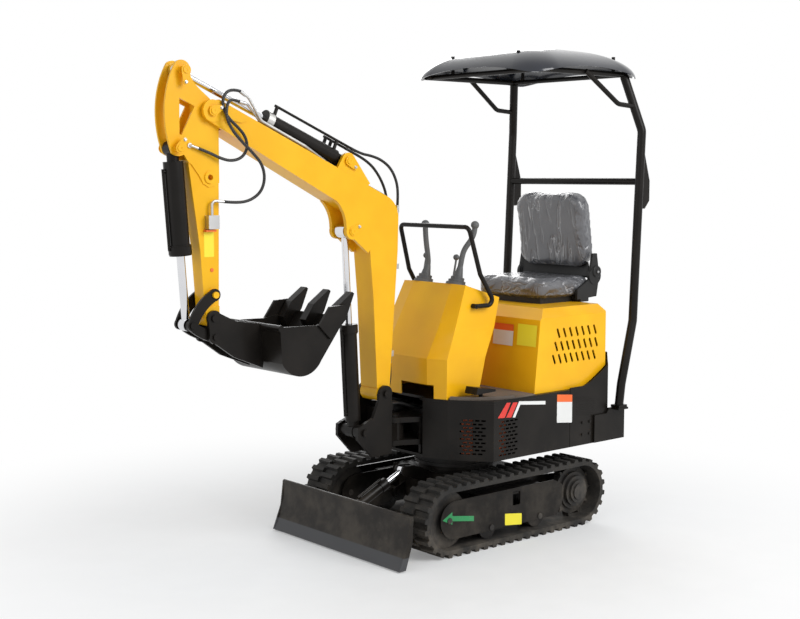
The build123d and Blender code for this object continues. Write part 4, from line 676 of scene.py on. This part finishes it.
def wrapped_vinyl(name, stretch, scale):
    """Grey vinyl with fine leather grain, under a glossy creased film with pale painted highlights along its
    creases.
    """
    material = finish(name, (0.085, 0.086, 0.094), (0.115, 0.116, 0.125), 0.42, 900, 0.0002, coat=0.9,
                      scuff=0.0, dust=0.0, drift=9.0)
    w = Wiring(material.node_tree)
    shader = material.node_tree.nodes["Principled BSDF"]
    film = use_group(w, film_group, Vector=w.place(), Scale=scale, Stretch=stretch)
    colour = shader.inputs["Base Color"].links[0].from_socket
    # Painted highlight: pale grey streaks along the film's creases stand in for light glancing off the clear
    # wrapper.
    crease_highlights = w.maths("MULTIPLY", film["Crease Highlight"], w.ramp(w.blur(w.place(), 5.0), 0.42, 0.62))
    highlighted_colour = w.mix(w.maths("MULTIPLY", crease_highlights, 0.75), colour, (0.55, 0.56, 0.58, 1))
    w.feed(shader.inputs["Base Color"], highlighted_colour)
    normal = shader.inputs["Normal"].links[0].from_socket
    creased = w.bump(film["Height"], 0.75, 0.004, normal)
    w.feed(shader.inputs["Normal"], creased)
    w.feed(shader.inputs["Coat Normal"], creased)
    return material


dress(pads["seat_back"], wrapped_vinyl("vinyl_back", (1.6, 1.0, 0.35), 7.0))
dress(pads["seat_cushion"], wrapped_vinyl("vinyl_cushion", (1.0, 0.7, 1.4), 8.0))
print("seat wrapped")

# %% [markdown]
# ## Thin plates, stickers and bolts
# Keeper plates, stickers and washers are all flat outlines with a little
# thickness. One helper turns an outline in the (y, z) plane into a slab on a
# side face. Bolts are one small head copied to many places as whole arrays.

# %% Slabs and bolts
def slab(name, outline, x_low, x_high, body, material, soft=0.0):
    """Flat plate square to X: the outline at two depths, joined by one face for each edge."""
    flat = np.asarray(outline, float)
    turn = (flat[:, 0] * np.roll(flat[:, 1], -1) - np.roll(flat[:, 0], -1) * flat[:, 1]).sum()
    flat = flat if turn > 0 else flat[::-1]
    count = len(flat)
    sides = [np.column_stack([np.full(count, x), flat[:, 0] + AXIS_Y, flat[:, 1]]) / 1000
             for x in (x_low, x_high)]
    index = np.arange(count)
    after = np.roll(index, -1)
    walls = np.stack([index, after, after + count, index + count], -1).tolist()
    made = mesh_object(name, np.vstack(sides), walls + [index[::-1].tolist(), (index + count).tolist()],
                       smooth=False)
    if soft:
        edge = made.modifiers.new("edge", "BEVEL")
        edge.width = soft
        edge.segments = 2
    dress(made, material)
    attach(made, body)
    return made


def rounded(corners, radius, steps=5):
    """Closed outline with each corner turned on an arc: a quadratic blend between its two sides."""
    corners = np.asarray(corners, float)
    to_last = np.roll(corners, 1, 0) - corners
    to_next = np.roll(corners, -1, 0) - corners
    start = corners + to_last / np.linalg.norm(to_last, axis=1)[:, None] * radius
    end = corners + to_next / np.linalg.norm(to_next, axis=1)[:, None] * radius
    t = np.linspace(0, 1, steps)[None, :, None]
    arcs = (1 - t) ** 2 * start[:, None] + 2 * t * (1 - t) * corners[:, None] + t ** 2 * end[:, None]
    return arcs.reshape(-1, 2)


def keeper_outline(pin, bolt, big, small):
    """Pear shape round a pin and a bolt: two arcs joined by straight sides."""
    pin, bolt = np.asarray(pin, float), np.asarray(bolt, float)
    run = bolt - pin
    heading = math.atan2(run[1], run[0])
    lean = math.acos((big - small) / np.linalg.norm(run))
    wide = np.linspace(heading + lean, heading + 2 * math.pi - lean, 20)
    tight = np.linspace(heading - lean, heading + lean, 10)
    arc = lambda centre, radius, turn: centre + radius * np.column_stack([np.cos(turn), np.sin(turn)])
    return np.vstack([arc(pin, big, wide), arc(bolt, small, tight)])


def bolt_head(across, height):
    """Points and faces of a hexagon head with a chamfered top on a wider six-sided foot, along +Z."""
    six = np.linspace(0, 2 * math.pi, 6, endpoint=False)
    levels = ((0.62, 0.0), (0.62, 0.16), (0.5, 0.17), (0.5, 0.86), (0.43, 1.0))
    rings = [np.column_stack([np.cos(six) * r * across, np.sin(six) * r * across, np.full(6, z * height)])
             for r, z in levels]
    points = np.vstack(rings)
    faces = ring_faces(len(levels), 6)
    last = np.arange(6) + 6 * (len(levels) - 1)
    return points, faces + [last.tolist(), np.arange(6)[::-1].tolist()]


def bolts(name, places, normal, across, height, body, material):
    """Many bolt heads in one piece: the head's points turned to the normal and added to each place."""
    points, faces = bolt_head(across, height)
    normal = np.asarray(normal, float)
    side = np.cross(normal, (0.3, 0.5, 0.8))
    side /= np.linalg.norm(side)
    turned = points @ np.stack([side, np.cross(normal, side), normal])
    centres = np.array([spot(*place) for place in places])
    cloud = (centres[:, None] + turned[None] / 1000).reshape(-1, 3)
    shifted = [[corner + step * len(points) for corner in face]
               for step in range(len(centres)) for face in faces]
    made = mesh_object(name, cloud, shifted, smooth=False)
    dress(made, material)
    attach(made, body)
    return made


def turned_piece(name, centre, heading, profile, body, material, sides=32):
    """Surface of revolution: each (station, radius) pair becomes a circle square to the heading."""
    heading = np.asarray(heading, float) / np.linalg.norm(heading)
    side = np.cross(heading, (1, 0, 0) if abs(heading[0]) < 0.9 else (0, 1, 0))
    side /= np.linalg.norm(side)
    lift = np.cross(heading, side)
    profile = np.asarray(profile, float)
    turn = np.linspace(0, 2 * math.pi, sides, endpoint=False)
    circle = np.cos(turn)[:, None] * side + np.sin(turn)[:, None] * lift
    rings = spot(*centre) + (profile[:, None, :1] * heading + profile[:, None, 1:] * circle) / 1000
    count = len(profile)
    grid = np.arange(count * sides).reshape(count, sides)
    middles = spot(*centre) + profile[[0, -1], :1] * heading / 1000
    faces = ring_faces(count, sides)
    faces += fan_faces(grid[0], count * sides, True) + fan_faces(grid[-1], count * sides + 1, False)
    made = mesh_object(name, np.vstack([rings.reshape(-1, 3), middles]), faces)
    crisp = made.modifiers.new("crisp", "EDGE_SPLIT")
    crisp.split_angle = math.radians(35)
    dress(made, material)
    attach(made, body)
    return made


def ring_profile(inner, outer, start, end, chamfer=1.5):
    """Collar section with both outer edges chamfered; turned_piece closes its two ends with a disc."""
    return [(start, inner), (start, outer - chamfer), (start + chamfer, outer), (end - chamfer, outer),
            (end, outer - chamfer), (end, inner)]


# %% [markdown]
# ## The pierced side panels
# The two side panels wrap the front corners of the house and are pierced by
# two groups of short slots, one on the corner's slanted face and one behind
# it. A panel is one surface with two parameters: the way along its plan
# outline and the height. Where a cell of that grid lies in a slot it is left
# out, and Solidify gives the sheet its thickness.

# %% Pierce the panels
PLAN = np.array([(130.0, -336.0), (260.0, -295.0), (430.0, -160.0), (430.0, 360.0)])
RUN = np.concatenate([[0], np.cumsum(np.linalg.norm(np.diff(PLAN, axis=0), axis=1))])
PANEL_LOW, PANEL_HIGH, SHEET = 400.0, 671.7, 5.0
SLOT_LENGTH, SLOT_HEIGHT, SLOT_PITCH, ROW_PITCH, ROWS = 21.0, 8.0, 29.0, 17.5, 10
LOUVRES = ((RUN[1] + 118.0, 513.0), (RUN[2] + 96.0, 504.0))


def on_outline(run, inset=0.0):
    """Plan point at a way along the outline: straight steps between its corners, moved in by the inset."""
    x, y = np.interp(run, RUN, PLAN[:, 0]), np.interp(run, RUN, PLAN[:, 1])
    step = np.clip(np.searchsorted(RUN, run, side="right") - 1, 0, len(PLAN) - 2)
    along = (PLAN[step + 1] - PLAN[step]) / (RUN[step + 1] - RUN[step])[..., None]
    return x - along[..., 1] * inset, y + along[..., 0] * inset


def slot_centres(middle_run, middle_z):
    """Centres of the staggered slots: four to a row, every second row moved by half a pitch."""
    row = np.arange(ROWS)
    column = np.arange(4) - 1.5
    run = middle_run + (column[None] + np.where(row % 2, 0.25, -0.25)[:, None]) * SLOT_PITCH
    z = middle_z + (row - (ROWS - 1) / 2)[:, None] * ROW_PITCH + 0 * run
    return np.column_stack([run.ravel(), z.ravel()])


centres = np.vstack([slot_centres(*place) for place in LOUVRES])
half_slot = np.array([SLOT_LENGTH, SLOT_HEIGHT]) / 2
runs = np.unique(np.round(np.concatenate([RUN, centres[:, 0] - half_slot[0],
                                          centres[:, 0] + half_slot[0]]), 3))
heights = np.unique(np.round(np.concatenate([[PANEL_LOW, PANEL_HIGH], centres[:, 1] - half_slot[1],
                                             centres[:, 1] + half_slot[1]]), 3))


def pierced_panel(side, name):
    """Grid over way along and height, with the cells inside the slots left out."""
    x, y = on_outline(runs)
    grid = np.stack(np.broadcast_arrays(side * x[:, None], y[:, None] + AXIS_Y, heights[None]), -1) / 1000
    middle_run, middle_z = (runs[:-1] + runs[1:]) / 2, (heights[:-1] + heights[1:]) / 2
    offset = np.abs(np.stack(np.meshgrid(middle_run, middle_z, indexing="ij"), -1)[:, :, None] - centres)
    solid = ~(offset < half_slot).all(-1).any(-1)
    quads = grid_quads(grid.shape[:2])[solid]
    quads = quads if side > 0 else quads[:, ::-1]
    used, packed = np.unique(quads, return_inverse=True)
    made = mesh_object(name, grid.reshape(-1, 3)[used], packed.reshape(quads.shape).tolist(), smooth=False)
    wall = made.modifiers.new("sheet", "SOLIDIFY")
    wall.thickness = SHEET / 1000
    wall.offset = -1.0
    dress(made, black)
    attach(made, "house")
    return made


def inner_board(name, side, start, end, low, high, inset, material):
    """Board behind the slots, parallel to the panel: two outline points at two insets and two heights."""
    ends = np.array([start, end])
    corners = []
    for depth in (inset, inset + 3.0):
        x, y = on_outline(ends, depth)
        corners += [(side * x[0], y[0], low), (side * x[1], y[1], low), (side * x[1], y[1], high),
                    (side * x[0], y[0], high)]
    faces = BOX_FACES if side > 0 else [face[::-1] for face in BOX_FACES]
    made = mesh_object(name, np.array([spot(*corner) for corner in corners]), faces, smooth=False)
    dress(made, material)
    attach(made, "house")


panels = [pierced_panel(1, "side_panel_left"), pierced_panel(-1, "side_panel_right")]
for panel in panels:
    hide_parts("side_panels")
glow_orange = finish("orange_lining", (0.55, 0.09, 0.015), (0.62, 0.12, 0.02), 0.5, 300, 0.0002, dust=0.1)
for side, word in ((1, "left"), (-1, "right")):
    for number, (run, z) in enumerate(LOUVRES, 1):
        inner_board("lining_%s_%d" % (word, number), side, run - 56, run - 2, z - 84, z + 84, 16.0,
                    glow_orange)
print(len(panels), "panels with", len(centres), "slots each")

# %% [markdown]
# ## Side panel: stripes and blank plates
# The left panel carries slanted stripes, a bar and a blank plate. They are
# films a fraction of a millimetre thick, laid on the panel's face, and no
# lettering is drawn on any of them.

# %% Films on the left panel
PANEL_X = 430.0
FILM = 0.4
stripes = {
    "stripe_red_1": (((-134, 604), (-90, 600), (-50, 668), (-76, 670)), red),
    "stripe_red_2": (((-80, 600), (-46, 597), (-4, 664), (-34, 667)), red),
    "stripe_white": (((-37, 596), (-20, 594), (14, 651), (186, 633), (186, 650), (6, 668)), white),
    "blank_plate": (rounded(((268, 534), (376, 522), (376, 638), (268, 650)), 4), white),
    "blank_plate_header": (rounded(((268, 636), (376, 624), (376, 660), (268, 672)), 3), orange),
}
for name, (outline, film) in stripes.items():
    lift = 0.3 if name == "blank_plate_header" else 0.0
    slab(name, outline, PANEL_X, PANEL_X + FILM + lift, "house", film)
RIB_STEP = 12
rib_outlines = [((410, 556 + rise), (540, 542 + rise), (540, 545 + rise), (410, 559 + rise))
                for rise in range(0, 8 * RIB_STEP, RIB_STEP)]
ribs = [slab("vent_rib_%d" % n, outline, PANEL_X, PANEL_X + 1.5, "house", black)
        for n, outline in enumerate(rib_outlines)]
print(len(stripes) + len(ribs), "films and ribs")

# %% Films on the hood, the side frame and the arm
HOOD_FOOT_Y, HOOD_HEAD_Y = 134.0, 172.0
HOOD_LOW, HOOD_TOP = 684.3, 1087.0
HOOD_LEAN = (HOOD_HEAD_Y - HOOD_FOOT_Y) / (HOOD_TOP - HOOD_LOW)


def hood_film(name, x_low, x_high, z_low, z_high, film, lift=0.4):
    """Rectangle laid on the hood's leaning front face."""
    corners = [(x, HOOD_FOOT_Y + (z - HOOD_LOW) * HOOD_LEAN, z) for x, z in
               ((x_low, z_low), (x_high, z_low), (x_high, z_high), (x_low, z_high))]
    near = np.array([spot(x, y - lift, z) for x, y, z in corners])
    rear = np.array([spot(x, y - 0.02, z) for x, y, z in corners])
    made = mesh_object(name, np.vstack([near, rear]), BOX_FACES, smooth=False)
    dress(made, film)
    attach(made, "house")


hood_film("hood_label_white", 100, 236, 900, 1004, white)
hood_film("hood_label_header", 100, 236, 972, 1004, orange, 0.6)
hood_film("hood_label_yellow", 264, 392, 908, 1012, sticker_yellow)
slab("arrow_green",
     ((-480, 176), (-420, 206), (-420, 188), (-285, 166), (-285, 142), (-420, 164), (-420, 148)), 430.0, 430.5,
     "undercarriage", green)
slab("frame_label", rounded(((-82, 86), (30, 72), (30, 126), (-82, 142)), 4), 430.0, 430.5, "undercarriage",
     sticker_yellow)
slab("arm_label", rounded(((-1468, 1388), (-1420, 1388), (-1420, 1494), (-1468, 1494)), 4), 35.0, 35.5, "arm",
     sticker_yellow)
print("blank labels laid")

# %% [markdown]
# ## Pins, keeper plates and collars
# Each pin of the digging arm is held by a small pear-shaped plate and one bolt,
# so it can't turn. The cylinders end in collars where the rod comes out, steel
# on the crowd cylinder and black on the lift and curl cylinders.

# %% Keep the pins
keepers = {
    "keeper_crowd_rod": ((-1561, 2153), (-1563, 2104), 66.0, "arm", yellow),
    "keeper_curl_low": ((-1593, 1838), (-1572, 1872), 66.0, "arm", yellow),
    "keeper_arm_pivot": ((-1435, 1993), (-1398, 2006), 72.0, "boom", yellow),
    "keeper_crowd_low": ((-714, 1792), (-682, 1764), 60.0, "boom", yellow),
    "keeper_lift_rod": ((-698, 1476), (-664, 1496), 64.0, "boom", yellow),
}
for name, (pin, bolt, face, body, paint) in keepers.items():
    for side in (-1, 1):
        x = sorted((side * face, side * (face + 4)))
        suffix = "_left" if side > 0 else "_right"
        slab(name + suffix, keeper_outline(pin, bolt, 22, 12), x[0], x[1], body, paint,
             0.0008)
        bolts(name + suffix + "_bolt", [(side * (face + 4), *bolt)], (side, 0, 0), 13, 6, body, steel)
        turned_piece(name + suffix + "_cap", (side * (face + 4), *pin), (side, 0, 0),
                     ((-1, 15), (3, 15), (4, 14), (4, 5), (2.5, 4)), body, yellow)


def unit_between(a, b):
    """Direction from one (y, z) pin to another, as a vector in the machine's middle plane."""
    run = np.array([0.0, b[0] - a[0], b[1] - a[1]])
    return run / np.linalg.norm(run)


cylinders = {
    "crowd": ((-714, 1792), (-1561, 2153), 38.0, 452.0, "crowd_barrel"),
    "lift": ((-650, 548), (-698, 1476), 40.0, 490.0, "lift_barrel"),
    "curl": ((-1593, 1838), (-1539.1, 1106.8), 46.0, 432.0, "curl_barrel"),
}
for name, (low, high, gland, length, body) in cylinders.items():
    ahead = unit_between(low, high)
    collar = steel if name == "crowd" else black
    turned_piece(name + "_collar", (0, *low), ahead,
                 ring_profile(gland, gland + 2.2, length - 30, length + 6), body, collar,
                 48)
print(len(keepers) * 2, "keeper plates")

# %% [markdown]
# ## Small parts
# The seat's backrest turns on two round hinges beside a black shell. The valve
# on the arm has an orange block below it, the arm carries an orange plug, and
# the rear skirt has four bolts a side.

# %% Add the small parts
SHELL_Y, SHELL_LEAN = 728.0, 16.0


def curved_shell(name, half_width, low, high, bow, thickness):
    """Upright sheet across the seat: its depth is a parabola over its width, and its top leans back."""
    across = np.linspace(-1, 1, 25)[:, None]
    rise = np.linspace(0, 1, 9)[None]
    depth = SHELL_Y - bow * across ** 2 + SHELL_LEAN * rise
    width = half_width * (1 - 0.06 * rise ** 3)
    grid = np.stack(np.broadcast_arrays(across * width, depth + AXIS_Y, low + (high - low) * rise), -1) / 1000
    made = mesh_object(name, grid, grid_quads(grid.shape[:2]).reshape(-1, 4).tolist())
    wall = made.modifiers.new("sheet", "SOLIDIFY")
    wall.thickness = thickness
    dress(made, plastic)
    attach(made, "house")


curved_shell("seat_lower_shell", 236.0, 1206.0, 1285.0, 34.0, 0.006)
for side, word in ((1, "left"), (-1, "right")):
    turned_piece("recliner_disc_" + word, (side * 256, 742, 1236), (side, 0, 0),
                 ((-1, 30), (4, 30), (7, 26), (7, 12), (9, 11), (10, 8)), "house", plastic)
    bolts("recliner_bolt_" + word, [(side * 266, 742, 1236)], (side, 0, 0), 11, 5, "house", steel)
    bolts("skirt_bolts_" + word, [(side * 430, 452, 512), (side * 430, 452, 452), (side * 430, 505, 512),
                                  (side * 430, 505, 452)], (side, 0, 0), 14, 6, "house", black)
slab("valve_block_red", ((-1470, 1494), (-1420, 1494), (-1420, 1502), (-1470, 1502)), 36, 58, "arm", orange,
     0.0006)
turned_piece("arm_plug", (35, -1432, 1333), (1, 0, 0), ((-1, 8), (3, 8), (4.5, 6), (4.5, 3)), "arm", orange,
             20)
print("small parts on the seat, the arm and the skirt")
